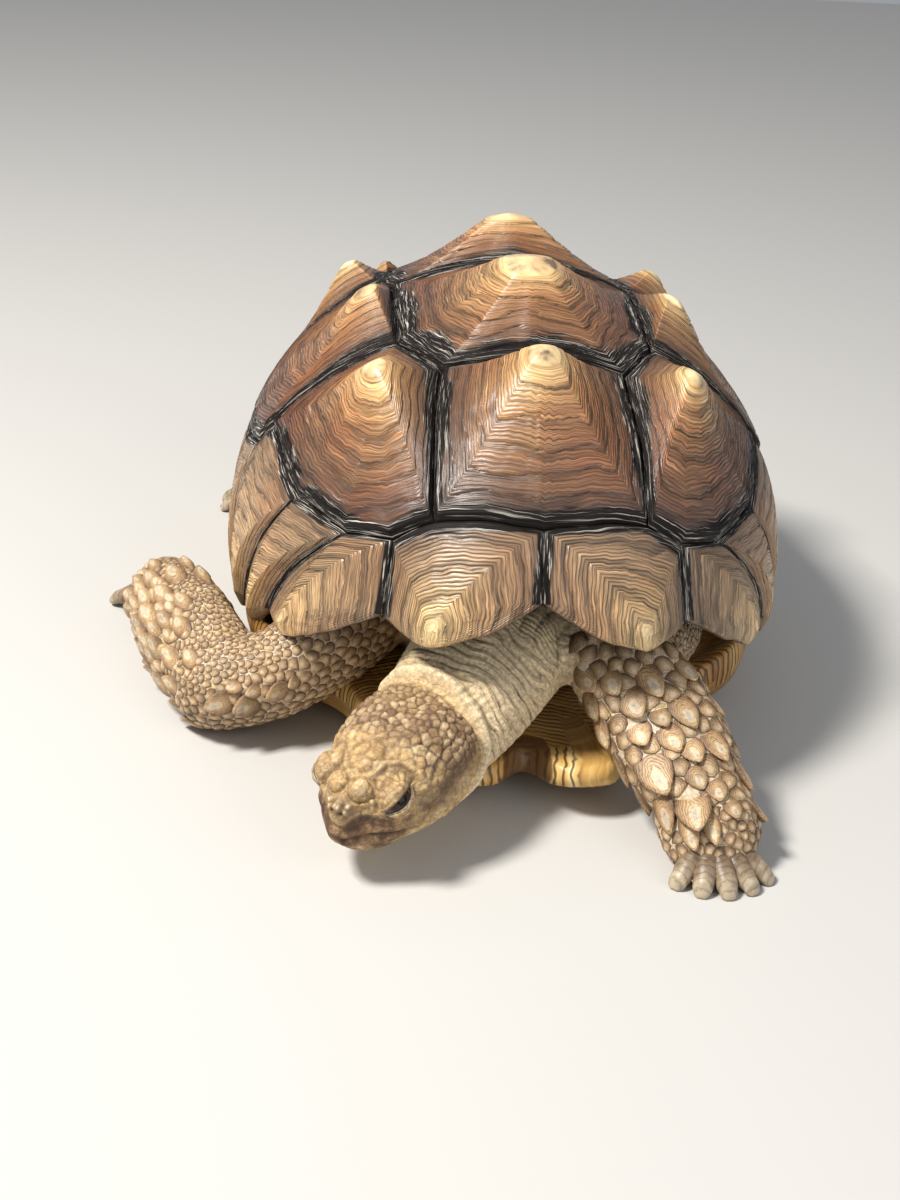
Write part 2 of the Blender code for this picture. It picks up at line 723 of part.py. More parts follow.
# ---------------------------------------------------------------- claws
CLAW_SIDES = 6


def claw_fan(name, centre, heading, spread, count, reach, length, width):
    """Blunt curved claws round the front of a foot, joined to it by a union."""
    shape = bmesh.new()
    for k in range(count):
        turn = radians(heading + spread * (k - (count - 1) / 2))
        out = Vector((cos(turn), sin(turn), 0.0))
        side = Vector((-out.y, out.x, 0.0))
        rows = []
        for share in (0.0, 0.45, 0.85):
            drop = 0.010 * share ** 1.6
            spot = Vector(centre) + out * (reach + length * share) - Vector((0, 0, drop))
            size = width * (1 - 0.62 * share ** 1.5)
            row = []
            for i in range(CLAW_SIDES):
                angle = 2 * pi * i / CLAW_SIDES
                point = spot + side * (size * cos(angle)) + Vector((0, 0, size * sin(angle)))
                point.z = max(point.z, 0.0)
                row.append(shape.verts.new(point))
            rows.append(row)
        tip_spot = Vector(centre) + out * (reach + length) - Vector((0, 0, 0.0105))
        tip_spot.z = max(tip_spot.z, 0.001)
        tip = shape.verts.new(tip_spot)
        for low, high in zip(rows, rows[1:]):
            for i in range(CLAW_SIDES):
                j = (i + 1) % CLAW_SIDES
                shape.faces.new((low[i], low[j], high[j], high[i]))
        shape.faces.new(rows[0])
        for i in range(CLAW_SIDES):
            shape.faces.new((rows[-1][i], rows[-1][(i + 1) % CLAW_SIDES], tip))
    bmesh.ops.triangulate(shape, faces=shape.faces[:])
    bmesh.ops.recalc_face_normals(shape, faces=shape.faces[:])
    mesh = bpy.data.meshes.new(name)
    shape.to_mesh(mesh)
    shape.free()
    claws = new_object(name, mesh, None, CUTTERS)
    claws.hide_render = True
    claws.display_type = "WIRE"
    return claws


def foot(name, stations, facing, fan):
    item = rounded_tube(name, stations, facing, rings=5, floor=0.0)
    modifier = item.modifiers.new("claws", "BOOLEAN")
    modifier.operation = "UNION"
    modifier.solver = "EXACT"
    modifier.use_self = True
    modifier.object = claw_fan(f"claws_{name}", *fan)
    return item


def flesh(body, shell_below):
    head = head_group()
    trim(head, shell_below)
    neck_piece = neck(head)
    trim(neck_piece, body, shell_below)
    tail = rounded_tube("tail", TAIL, (0, 0.5, 0.8), rings=6, sides=10, floor=0.0)
    trim(tail, body, shell_below)

    foot_left = foot("forefoot_left", FOREFOOT_LEFT, (-0.2, -0.4, 0.9),
                     ((0.101, -0.292, 0.011), -84.0, 24.0, 5, 0.014, 0.025, 0.0062))
    foot_right = foot("forefoot_right", FOREFOOT_RIGHT, (-0.8, -0.1, 0.6),
                      ((-0.228, -0.008, 0.013), 110.0, 22.0, 5, 0.012, 0.028, 0.0062))
    arm_left = rounded_tube("forearm_left", FOREARM_LEFT, (-0.15, -0.45, 0.88))
    arm_right = rounded_tube("forearm_right", FOREARM_RIGHT, (-0.75, -0.35, 0.55), floor=0.0)
    trim(arm_left, foot_left, body, shell_below, neck_piece)
    trim(arm_right, foot_right, body, shell_below)
    upper_left = rounded_tube("upper_arm_left", UPPER_ARM_LEFT, (0, -0.3, 1.0))
    upper_right = rounded_tube("upper_arm_right", UPPER_ARM_RIGHT, (0, -0.3, 1.0), floor=0.0)
    trim(upper_left, arm_left, body, shell_below, neck_piece)
    trim(upper_right, arm_right, body, shell_below, neck_piece)

    for side, label in ((1, "left"), (-1, "right")):
        foot_stations = HIND_FOOT if side > 0 else mirror_stations(HIND_FOOT)
        thigh_stations = THIGH if side > 0 else mirror_stations(THIGH)
        heading = -25.0 if side > 0 else 205.0
        hind = foot(f"hind_foot_{label}", foot_stations, (0, 1, 0),
                    ((side * 0.155, 0.178, 0.012), heading, 26.0, 4, 0.018, 0.024, 0.0066))
        thigh = rounded_tube(f"thigh_{label}", thigh_stations, (0, 0, 1), rings=6, floor=0.0)
        trim(thigh, hind, body, shell_below)


flesh(trunk(), plastron())
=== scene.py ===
# %% [markdown]
# # A sulcata tortoise, finished as a life-size museum model
#
# The solids of the frame give the tortoise its size, its pose and its outline.  This lesson puts
# the looks around them: horn plates with growth ridges, one skin over the flesh, overlapping
# scales on the legs, claws, eyes, and a calm studio to see it in.  Everything is in metres, with
# +Z up, the head towards -Y and the animal's left side towards +X.

# %% Load the frame
import json
import bmesh
import bpy
import numpy as np
from math import ceil, cos, pi, radians, sin
from mathutils import Euler, Matrix, Vector
from mathutils.bvhtree import BVHTree
from mathutils.kdtree import KDTree
from numpy.linalg import norm

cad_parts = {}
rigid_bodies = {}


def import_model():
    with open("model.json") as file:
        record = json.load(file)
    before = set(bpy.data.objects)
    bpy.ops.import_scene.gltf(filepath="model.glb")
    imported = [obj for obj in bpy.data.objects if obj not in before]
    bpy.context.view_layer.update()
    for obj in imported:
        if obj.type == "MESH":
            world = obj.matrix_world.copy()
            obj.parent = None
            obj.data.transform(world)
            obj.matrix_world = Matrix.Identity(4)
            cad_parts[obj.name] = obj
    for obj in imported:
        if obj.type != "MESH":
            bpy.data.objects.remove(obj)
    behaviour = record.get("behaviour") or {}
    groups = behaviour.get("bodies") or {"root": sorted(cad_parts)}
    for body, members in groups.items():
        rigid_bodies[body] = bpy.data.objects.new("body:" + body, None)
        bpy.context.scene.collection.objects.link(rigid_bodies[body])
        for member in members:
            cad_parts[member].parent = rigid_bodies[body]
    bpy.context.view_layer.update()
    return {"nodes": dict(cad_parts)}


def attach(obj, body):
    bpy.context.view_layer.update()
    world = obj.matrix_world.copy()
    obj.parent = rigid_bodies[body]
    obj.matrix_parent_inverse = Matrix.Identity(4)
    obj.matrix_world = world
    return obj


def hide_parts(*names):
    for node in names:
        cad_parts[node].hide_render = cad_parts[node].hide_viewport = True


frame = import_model()
MM = 0.001
print("nodes in the frame:", len(frame["nodes"]))

# %% [markdown]
# ## Small tools for making meshes
#
# The horn plates and the skin are dense, so their points are worked out with numpy arrays and
# handed to Blender in one go.  A closed mesh whose signed volume is negative is inside out, so
# the helper turns such a mesh round and every piece ends with its faces pointing outwards.


# %% Mesh helpers
def signed_volume(points, triangles):
    a, b, c = (points[triangles[:, k]] for k in range(3))
    return float(np.einsum("ij,ij->i", a, np.cross(b, c)).sum() / 6)


def put_points(mesh, points):
    mesh.vertices.foreach_set("co", points.astype(np.float32).ravel())


def mesh_from_arrays(name, points, *faces):
    """A closed mesh from an array of points and arrays of its four- or three-sided faces."""
    halves = [f[:, :3] for f in faces] + [f[:, [0, 2, 3]] for f in faces if f.shape[1] == 4]
    if signed_volume(points, np.concatenate(halves)) < 0:
        faces = [f[:, ::-1] for f in faces]
    corners = np.concatenate([f.ravel() for f in faces])
    sizes = np.concatenate([np.full(len(f), f.shape[1]) for f in faces])
    mesh = bpy.data.meshes.new(name)
    mesh.vertices.add(len(points))
    put_points(mesh, points)
    mesh.loops.add(len(corners))
    mesh.loops.foreach_set("vertex_index", corners.astype(np.int32))
    mesh.polygons.add(len(sizes))
    starts = np.concatenate([[0], np.cumsum(sizes)[:-1]])
    mesh.polygons.foreach_set("loop_start", starts.astype(np.int32))
    mesh.update(calc_edges=True)
    mesh.shade_smooth()
    return mesh


def store(mesh, name, values):
    """A named attribute on the points: one number each, or three."""
    kind = "FLOAT" if values.ndim == 1 else "FLOAT_VECTOR"
    attribute = mesh.attributes.new(name, kind, "POINT")
    attribute.data.foreach_set("value" if values.ndim == 1 else "vector",
                               values.astype(np.float32).ravel())


def tube_quads(rows, columns):
    """Faces between rows of points that each run once round a shape."""
    row, column = np.meshgrid(np.arange(rows - 1), np.arange(columns), indexing="ij")
    after = (column + 1) % columns
    return np.stack([row * columns + column, row * columns + after,
                     (row + 1) * columns + after, (row + 1) * columns + column], -1).reshape(-1, 4)


def fan(row_start, columns, hub, turn=False):
    """Triangles from one row to a single point."""
    column = np.arange(columns)
    after = (column + 1) % columns
    pair = (after, column) if turn else (column, after)
    return np.stack([row_start + pair[0], row_start + pair[1], np.full(columns, hub)], -1)


def closed_tube(rows, columns):
    """Faces of a tube whose two ends close on hubs: the last two points, first end first."""
    size = rows * columns
    return tube_quads(rows, columns), np.concatenate([
        fan(0, columns, size, turn=True), fan(size - columns, columns, size + 1)])


def show(name, mesh, material, replaces=()):
    """Puts a finished mesh in the scene as a piece that rides on the still body."""
    piece = bpy.data.objects.new(name, mesh)
    bpy.context.scene.collection.objects.link(piece)
    piece.data.materials.clear()
    piece.data.materials.append(material)
    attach(piece, "root")
    if replaces:
        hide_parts(*replaces)
    return piece


# %% Directions, soft steps and ripples
def unit(vectors):
    return vectors / np.maximum(norm(vectors, axis=-1, keepdims=True), 1e-12)


def ease(low, high, value):
    """0 below low, 1 above high, and smooth in between."""
    share = np.clip((value - low) / (high - low), 0, 1)
    return share * share * (3 - 2 * share)


def ripples(points, scale, seed, octaves=3):
    """Smooth made-up unevenness from -1 to 1: a few crossing waves with fixed random turns."""
    chance = np.random.default_rng(seed)
    total = np.zeros(len(points))
    weight = 0
    for octave in range(octaves):
        for _ in range(4):
            direction = unit(chance.normal(size=points.shape[1])) * 2 * pi / scale * 1.9 ** octave
            total += np.sin(points @ direction + chance.uniform(0, 2 * pi)) * 0.5 ** octave
            weight += 0.5 ** octave
    return total / weight * 1.6


# %% [markdown]
# ## The dome of the shell
#
# The bony dome under the horn is a smooth rule: a ring number from 0 at the crown to 1 at the
# edge, and a bearing from the front.  The same rule and the same plan of seams shaped the solids,
# so a plate made from it here lands exactly on its solid.

# %% Driving dimensions of the shell
SHELL_HALF_WIDTH = 0.188
SHELL_HALF_LENGTH = 0.25
CROWN_HEIGHT = 0.254
CROWN_AHEAD = 0.025
WALL_POWER = 1.08
CROWN_POWER = 0.9
RIM_FRONT, RIM_SIDE, RIM_REAR = 0.124, 0.047, 0.062
RIM_FLARE, FLARE_START = 0.012, 0.8
SIDE_TUCK, TUCK_START = 0.013, 0.62


def dome(spots):
    """Points of the dome for an array of disc spots (ring times sine and cosine of bearing)."""
    u, v = spots[..., 0], spots[..., 1]
    ring = np.minimum(np.hypot(u, v), 0.9999)
    bearing = np.arctan2(u, v)
    reach = np.sin(ring * pi / 2) ** WALL_POWER
    half_length = np.where(v > 0, SHELL_HALF_LENGTH - CROWN_AHEAD, SHELL_HALF_LENGTH + CROWN_AHEAD)
    flare = np.maximum(0, (ring - FLARE_START) / (1 - FLARE_START)) ** 2 * RIM_FLARE
    tuck = np.maximum(0, (ring - TUCK_START) / (1 - TUCK_START)) ** 1.5 * SIDE_TUCK
    turn = flare * np.cos(bearing) ** 2 - tuck * np.sin(bearing) ** 2
    end = np.where(v > 0, RIM_FRONT, RIM_REAR)
    edge = RIM_SIDE + (end - RIM_SIDE) * np.cos(bearing) ** 2
    return np.stack([
        (SHELL_HALF_WIDTH * reach + turn) * np.sin(bearing),
        -CROWN_AHEAD - (half_length * reach + turn) * np.cos(bearing),
        edge + (CROWN_HEIGHT - edge) * np.cos(ring * pi / 2) ** CROWN_POWER], -1)


def dome_normal(spots):
    step = 0.002
    shrink = np.minimum(1, 0.99 / np.maximum(norm(spots, axis=-1, keepdims=True), 1e-6))
    spots = spots * shrink
    side, ahead = np.array([step, 0]), np.array([0, step])
    across = dome(spots + side) - dome(spots - side)
    along = dome(spots + ahead) - dome(spots - ahead)
    normal = unit(np.cross(along, across))
    return np.where(normal[..., 2:] > -0.2, normal, -normal)


def disc(ring, bearing):
    return np.stack([ring * np.sin(np.radians(bearing)), ring * np.cos(np.radians(bearing))], -1)


print("crown of the dome at", np.round(dome(np.array([0.0, 0.0])), 3))

# %% Plan of the seams
SEAM_CORNERS = {
    "front_mid": (0.769, 0.0), "v1_c1_m1": (0.756, 20.3), "m1_m2": (0.8, 27.4),
    "m2_m3": (0.797, 37.2), "m3_m4": (0.74, 52.6), "c1_c2_m": (0.636, 75.4),
    "m4_m5": (0.69, 79.0), "m5_m6": (0.725, 91.0), "m6_m7": (0.735, 103.0),
    "c2_c3_m": (0.71, 109.0), "m7_m8": (0.75, 117.0), "m8_m9": (0.77, 130.0),
    "c3_c4_m": (0.745, 136.5), "m9_m10": (0.78, 143.0), "m10_m11": (0.79, 155.0),
    "c4_v5_m": (0.77, 161.0), "m11_m12": (0.79, 167.5), "rear_mid": (0.78, 180.0),
    "v1_v2_c1": (0.393, 31.2), "c1_c2_v2": (0.35, 55.5), "v2_v3_c2": (0.3, 106.0),
    "c2_c3_v3": (0.35, 119.0), "v3_v4_c3": (0.424, 140.0), "c3_c4_v4": (0.528, 146.5),
    "v4_v5_c4": (0.605, 162.5),
}
VERTEBRALS = [
    ("v1_c1_m1", "v1_v2_c1", "-v1_v2_c1", "-v1_c1_m1", "front_mid"),
    ("v1_v2_c1", "c1_c2_v2", "v2_v3_c2", "-v2_v3_c2", "-c1_c2_v2", "-v1_v2_c1"),
    ("v2_v3_c2", "c2_c3_v3", "v3_v4_c3", "-v3_v4_c3", "-c2_c3_v3", "-v2_v3_c2"),
    ("v3_v4_c3", "c3_c4_v4", "v4_v5_c4", "-v4_v5_c4", "-c3_c4_v4", "-v3_v4_c3"),
    ("v4_v5_c4", "c4_v5_m", "m11_m12", "rear_mid", "-m11_m12", "-c4_v5_m", "-v4_v5_c4"),
]
COSTALS = [
    ("v1_c1_m1", "m1_m2", "m2_m3", "m3_m4", "c1_c2_m", "c1_c2_v2", "v1_v2_c1"),
    ("c1_c2_m", "m4_m5", "m5_m6", "m6_m7", "c2_c3_m", "c2_c3_v3", "v2_v3_c2", "c1_c2_v2"),
    ("c2_c3_m", "m7_m8", "m8_m9", "c3_c4_m", "c3_c4_v4", "v3_v4_c3", "c2_c3_v3"),
    ("c3_c4_m", "m9_m10", "m10_m11", "c4_v5_m", "v4_v5_c4", "c3_c4_v4"),
]
MARGINALS = [
    ("front_mid", "v1_c1_m1", "m1_m2"), ("m1_m2", "m2_m3"), ("m2_m3", "m3_m4"),
    ("m3_m4", "c1_c2_m", "m4_m5"), ("m4_m5", "m5_m6"), ("m5_m6", "m6_m7"),
    ("m6_m7", "c2_c3_m", "m7_m8"), ("m7_m8", "m8_m9"), ("m8_m9", "c3_c4_m", "m9_m10"),
    ("m9_m10", "m10_m11"), ("m10_m11", "c4_v5_m", "m11_m12"),
]
RIM_BEARINGS = (0.0, 26.8, 56.0, 68.0, 81.0, 93.0, 105.0, 118.0, 131.0, 144.0, 156.0, 168.0)
RIM_NOTCHES = (0.93, 0.96, 0.975, 0.985, 0.99, 0.99, 0.99, 0.985, 0.965, 0.955, 0.955, 0.96)
VERTEBRAL_PEAKS = ((0.447, 0.0, 0.036), (0.168, 0.0, 0.032), (0.165, 180.0, 0.028),
                   (0.46, 180.0, 0.024), (0.7, 180.0, 0.018))
COSTAL_PEAKS = ((0.48, 40.0, 0.027), (0.328, 78.0, 0.023), (0.435, 124.5, 0.021),
                (0.545, 150.0, 0.018))
MARGINAL_RISE = 0.003
MARGINAL_PEAK_RING = 0.992
MARGINAL_SUMMITS = (0.66, 0.8, 0.74, 0.66, 0.6, 0.55, 0.55, 0.55, 0.58, 0.62, 0.62, 0.5)
RIM_LIP = 0.0065  # how far the points of the edge plates reach past the dome
print("corners where seams meet:", len(SEAM_CORNERS))


# %% Outlines of the plates on the disc
SAMPLE = 3.0 * MM  # spacing of points along a seam


def corner(name):
    """Disc spot of a named corner; a leading minus is its twin on the right side."""
    side = -1 if name.startswith("-") else 1
    return disc(*SEAM_CORNERS[name.lstrip("-")]) * (side, 1)


def seam(a, b):
    """Spots from a up to, but without, b."""
    steps = max(2, ceil(norm(dome(a) - dome(b)) / SAMPLE))
    return a + (b - a) * np.arange(steps)[:, None] / steps


def closed_seams(spots):
    return np.concatenate([seam(a, b) for a, b in zip(spots, spots[1:] + spots[:1])])


def rim_curve(start, end, notch_start, notch_end, summit):
    """The scalloped free edge of one edge plate, from one seam to the next."""
    length = norm(dome(disc(1.0, start)) - dome(disc(1.0, end)))
    share = np.linspace(0, 1, ceil(length / SAMPLE) + 1)
    away = np.where(share < summit, 1 - share / summit, (share - summit) / (1 - summit))
    lift = np.cos(np.clip(away, 0, 1) * pi / 2)
    notch = notch_start + (notch_end - notch_start) * share
    return disc(notch + (1 - notch) * lift ** 0.9, start + (end - start) * share), away


def edge_outline(inner, number, number_after):
    """Outline of an edge plate, and how far each spot is from the plate's point on the rim: 1 on
    the seams, and from 1 down to 0 along the free edge."""
    start = RIM_BEARINGS[number]
    end = RIM_BEARINGS[number_after] if number_after < 12 else 360 - start
    notch_end = RIM_NOTCHES[min(number_after, 11)]
    rim, away = rim_curve(start, end, RIM_NOTCHES[number], notch_end, MARGINAL_SUMMITS[number])
    inward = [seam(a, b) for a, b in zip(inner, inner[1:])]
    pieces = inward + [seam(inner[-1], rim[-1]), rim[:0:-1], seam(rim[0], inner[0])]
    reach = np.concatenate([away[:0:-1] if p is pieces[-2] else np.ones(len(p)) for p in pieces])
    return np.concatenate(pieces), reach


def wander(spots):
    """Seams aren't ruled lines.  Neighbours share this shift, because it depends on the spot."""
    return spots + 0.0035 * np.stack([ripples(spots, 0.16, 3), ripples(spots, 0.16, 4)], -1)


# %% [markdown]
# ## Horn plates with growth ridges
#
# A tortoise's plate grows from a small flat patch, the areola, by adding a ring of horn round its
# edge each season.  On this shell every plate has grown into a steep pyramid, so each is a
# loft: its first row of points follows the seam, the last follows the areola, and each ridge in
# between is a few rows.  The plate keeps four values per point for its colours: the number of
# the ridge, the share of the way to the areola, how far the point lies in the dark young horn,
# and its place in the year's step.

# %% Sizes of the ridges
ROWS_PER_RIDGE = 4
RIDGE_SPACING = 2.5 * MM
CAP_ROWS = 7
SEAM_DROP, DROP_WIDTH = 1.8 * MM, 2.4 * MM
SEAM_GAP = 0.5 * MM
DOME_CLEAR, DOME_SOFT = 1.2 * MM, 1.5 * MM  # least height over the dome, and its rounding
KEEL_HEIGHT, KEEL_WIDTH = 1.6 * MM, 7 * MM  # of the low keel down the middle of the back
CHEVRON = 5 * MM  # width of the zigzag in the rings at the keel
PLATE_THICKNESS, RIM_THICKNESS = 6.5 * MM, 4.5 * MM
RIDGE_HEIGHT, YEAR_HEIGHT = 0.55 * MM, 0.9 * MM
YEAR = 6.3  # ridges in a year's step
TIP_YEAR = 0.3  # share of the step that the areola shows


# %% One plate
def smooth_loop(points, passes):
    for _ in range(passes):
        points = 0.5 * points + 0.25 * (np.roll(points, 1, 0) + np.roll(points, -1, 0))
    return points


def grid_normals(grid, outwards):
    """Normals of a grid of rows, turned to the side that outwards points to."""
    around = np.roll(grid, -1, 1) - np.roll(grid, 1, 1)
    up = np.gradient(grid, axis=0)
    normals = unit(np.cross(around, up))
    return normals * np.sign(np.sum(normals @ outwards) + 1e-9)


def growth_plate(outline, reach, peak, rise, under, share, dark_width, seed, hug):
    """Points, faces and growth values of one plate: from the hub under it, down its skirt, along
    its face to the areola and the tip."""
    # the seam and the areola
    spots = wander(outline)
    columns = len(spots)
    free = (reach < 1).astype(float)
    seam_row = dome(spots)
    seam_normal = dome_normal(spots)
    lip = unit(seam_row - dome(spots * 0.95)) * (RIM_LIP * (1 - reach[:, None]))
    seam_row = seam_row + lip
    middle = seam_row.mean(0)
    up = dome_normal(peak)
    summit = dome(peak) + up * rise
    inward = unit(middle - seam_row)
    seam_row = seam_row + inward * SEAM_GAP * (1 - free[:, None])
    areola = smooth_loop(seam_row - middle, columns // 14) * share
    areola = areola - np.outer(areola @ up, up)
    radius = norm(areola, axis=1, keepdims=True)
    areola = summit + areola * (radius.mean() / radius) ** 0.55 - up * rise * 0.1
    length = norm(areola - seam_row, axis=1)
    ridges = max(8, round(np.percentile(length, 75) / RIDGE_SPACING))
    # the flanks between them, never below the dome, with a keel if the plate is on the back
    t = np.linspace(0, 1, ridges * ROWS_PER_RIDGE + 1)[:, None, None]
    base = seam_row * (1 - t) + areola * t - up * rise * 0.42 * t * (1 - t)
    on_disc = spots + (peak - spots) * (t * (1 - share))
    away = dome_normal(on_disc)
    sunk = ((dome(on_disc) - base) * away).sum(-1, keepdims=True) + DOME_CLEAR
    base = base + away * 0.5 * (sunk + np.hypot(sunk, DOME_SOFT)) * ease(0, 0.07, t)
    if hug:
        base = dome(on_disc) + away * rise * t + lip * (1 - t)
    keel = np.exp(-(base[..., :1] / KEEL_WIDTH) ** 2) * 4 * t * (1 - t) * (abs(peak[0]) < 1e-6)
    base = base + up * KEEL_HEIGHT * keel
    normals = grid_normals(base, up)
    normals = unit(normals + (seam_normal - normals) * (1 - ease(0, 0.12, t)))

    # growth ridges, and the higher steps of the years
    flat = base.reshape(-1, 3)
    shape = base.shape[:2]
    wobble = ripples(flat, 0.055, seed).reshape(shape) * 0.9
    zigzag = ripples(flat, 0.011, seed + 1, 2).reshape(shape) * 0.32
    t = t[..., 0]
    age = 1 - reach[None, :] * (1 - t)
    chevron = 0.5 * np.abs(2 * (base[..., 0] / CHEVRON % 1) - 1) * np.minimum(keel[..., 0] * 1.6, 1)
    number = age * ridges + (wobble + zigzag + chevron) * ease(0.0, 0.15, t) * ease(1.0, 0.85, t)
    saw = number - np.floor(number)
    year = number / YEAR + 0.35 * wobble
    year = year - np.floor(year)
    spacing = length / ridges
    height = np.minimum(RIDGE_HEIGHT, 0.26 * spacing)[None, :]
    relief = height * (saw * ease(1.0, 0.72, saw) * 1.7 - 0.6)
    relief += np.minimum(YEAR_HEIGHT, 0.5 * spacing)[None, :] * (0.5 - ease(0.6, 0.98, year))
    relief *= ease(0.0, 0.05, t) * ease(1.0, 0.9, t)
    along = t * length[None, :]
    edge_drop = SEAM_DROP * np.exp(-along / DROP_WIDTH) * (1 - 0.55 * free)[None, :]
    rows = base + normals * (relief - edge_drop)[..., None]

    # how far each spot lies in the dark young horn
    dark = (1 - ease(0.15, 1.0, along / (dark_width * (1 + 0.45 * wobble)))) * (1 - free)[None, :]
    growth = np.stack([number, age, np.clip(dark, 0, 1), year], -1)

    # the low dome of the areola
    cap = np.linspace(0, 1, CAP_ROWS + 1)[1:-1, None, None]
    cap_rows = rows[-1] * (1 - cap) + summit * cap
    cap_rows = cap_rows + up * rise * 0.1 * (np.sin(cap * pi / 2) - cap)
    cap_growth = np.tile([ridges, 1.0, 0.0, TIP_YEAR], (*cap_rows.shape[:2], 1))
    cap_growth[..., 1] += cap[..., 0]

    # the skirt round the edge, and the underside
    thick = np.where(free > 0, RIM_THICKNESS, PLATE_THICKNESS)[:, None]
    skirt = []
    for depth, out in ((1.0, 0.0), (0.72, 0.35 * MM), (0.42, 0.7 * MM), (0.18, 0.5 * MM)):
        skirt.append(rows[0] - seam_normal * (thick * depth) - inward * out * free[:, None])
    hub = dome(under) - dome_normal(under) * (PLATE_THICKNESS + 2 * MM)
    belly = [hub + (skirt[0] - hub) * s for s in (0.25, 0.5, 0.75)]
    lower = np.stack(belly + skirt)
    lower_growth = np.zeros((*lower.shape[:2], 4))
    lower_growth[..., 2] = (1 - free)[None, :]

    points = np.concatenate([lower, rows, cap_rows]).reshape(-1, 3)
    values = np.concatenate([lower_growth, growth, cap_growth]).reshape(-1, 4)
    faces = closed_tube(len(points) // columns, columns)
    points = np.concatenate([points, [hub, summit]])
    values = np.concatenate([values, [[0, 0, 0, 0], [ridges, 2, 0, TIP_YEAR]]])
    return points, faces, values


def make_plate(name, outline, reach, peak, rise, under, share, dark_width, seed, material):
    """A roof plate rises straight to its areola; an edge plate hugs the dome all the way."""
    points, faces, values = growth_plate(outline, reach, peak, rise, under, share, dark_width,
                                         seed, material is HORN_EDGE)
    mesh = mesh_from_arrays(name, points, *faces)
    store(mesh, "growth", values[:, :3])
    store(mesh, "year", values[:, 3])
    return show(f"plate_{name}", mesh, material, [name])


# %% [markdown]
# ## Materials for the horn
#
# Young horn at the seams is nearly black with chalky streaks; towards the areola it is worn to
# golden and reddish brown, and the areola itself is cream.  The colours read the plate's own
# growth values, and noise stretched along the ridges gives the fine streaks, so the pattern
# follows the shape however the plate is turned.


# %% Node helpers
def new_material(name, roughness=0.5):
    material = bpy.data.materials.new(name)
    material.use_nodes = True
    tree = material.node_tree
    shader = tree.nodes["Principled BSDF"]
    shader.inputs["Roughness"].default_value = roughness
    return material, tree, shader


def link(tree, source, target):
    """Joins two sockets; a plain value is set on the target instead."""
    if isinstance(source, bpy.types.NodeSocket):
        tree.links.new(source, target)
    else:
        target.default_value = source


def maths(tree, operation, a, b=0.0, c=0.0):
    node = tree.nodes.new("ShaderNodeMath")
    node.operation = operation
    for value, socket in zip((a, b, c), node.inputs):
        link(tree, value, socket)
    return node.outputs[0]


def times(tree, a, b):
    return maths(tree, "MULTIPLY", a, b)


def swayed(tree, value, by, onto):
    """The value's swing about a half, scaled and laid onto another value."""
    return maths(tree, "MULTIPLY_ADD", maths(tree, "SUBTRACT", value, 0.5), by, onto)


def noise(tree, vector, scale, detail=3.0, roughness=0.55):
    node = tree.nodes.new("ShaderNodeTexNoise")
    for key, value in (("Vector", vector), ("Scale", scale), ("Detail", detail),
                       ("Roughness", roughness)):
        link(tree, value, node.inputs[key])
    return node.outputs["Fac"]


def ramp(tree, value, stops):
    """A colour ramp; stops are (place, colour or grey)."""
    node = tree.nodes.new("ShaderNodeValToRGB")
    link(tree, value, node.inputs["Fac"])
    elements = node.color_ramp.elements
    while len(elements) < len(stops):
        elements.new(0.5)
    for element, (place, colour) in zip(elements, stops):
        element.position = place
        rgb = colour if isinstance(colour, tuple) else (colour, colour, colour)
        element.color = (*rgb, 1.0)
    return node.outputs["Color"]


def mix(tree, share, a, b, blend="MIX"):
    node = tree.nodes.new("ShaderNodeMix")
    node.data_type = "RGBA"
    node.blend_type = blend
    link(tree, share, node.inputs["Factor"])
    for value, socket in ((a, node.inputs[6]), (b, node.inputs[7])):
        link(tree, (*value, 1.0) if isinstance(value, tuple) else value, socket)
    return node.outputs[2]


def tinted(tree, colour, by, share=1.0):
    """A colour multiplied by another colour or by a grey."""
    return mix(tree, share, colour, by, "MULTIPLY")


def bump(tree, shader, height, strength, distance, under=None):
    node = tree.nodes.new("ShaderNodeBump")
    for key, value in (("Strength", strength), ("Distance", distance), ("Height", height)):
        link(tree, value, node.inputs[key])
    if under is not None:
        link(tree, under, node.inputs["Normal"])
    link(tree, node.outputs["Normal"], shader.inputs["Normal"])
    return node.outputs["Normal"]


def attribute(tree, name, output="Fac"):
    node = tree.nodes.new("ShaderNodeAttribute")
    node.attribute_name = name
    return node.outputs[output]


def three_values(tree, name):
    """The three numbers of a vector attribute, one socket each."""
    node = tree.nodes.new("ShaderNodeSeparateXYZ")
    link(tree, attribute(tree, name, "Vector"), node.inputs[0])
    return node.outputs


def object_place(tree):
    return tree.nodes.new("ShaderNodeTexCoord").outputs["Object"]


def vector_of(tree, x, y, z):
    node = tree.nodes.new("ShaderNodeCombineXYZ")
    for value, socket in zip((x, y, z), node.inputs):
        link(tree, value, socket)
    return node.outputs[0]


def add_vectors(tree, a, b, scale_a=1.0):
    node = tree.nodes.new("ShaderNodeVectorMath")
    node.operation = "MULTIPLY_ADD"
    link(tree, a, node.inputs[0])
    node.inputs[1].default_value = (scale_a,) * 3
    link(tree, b, node.inputs[2])
    return node.outputs[0]


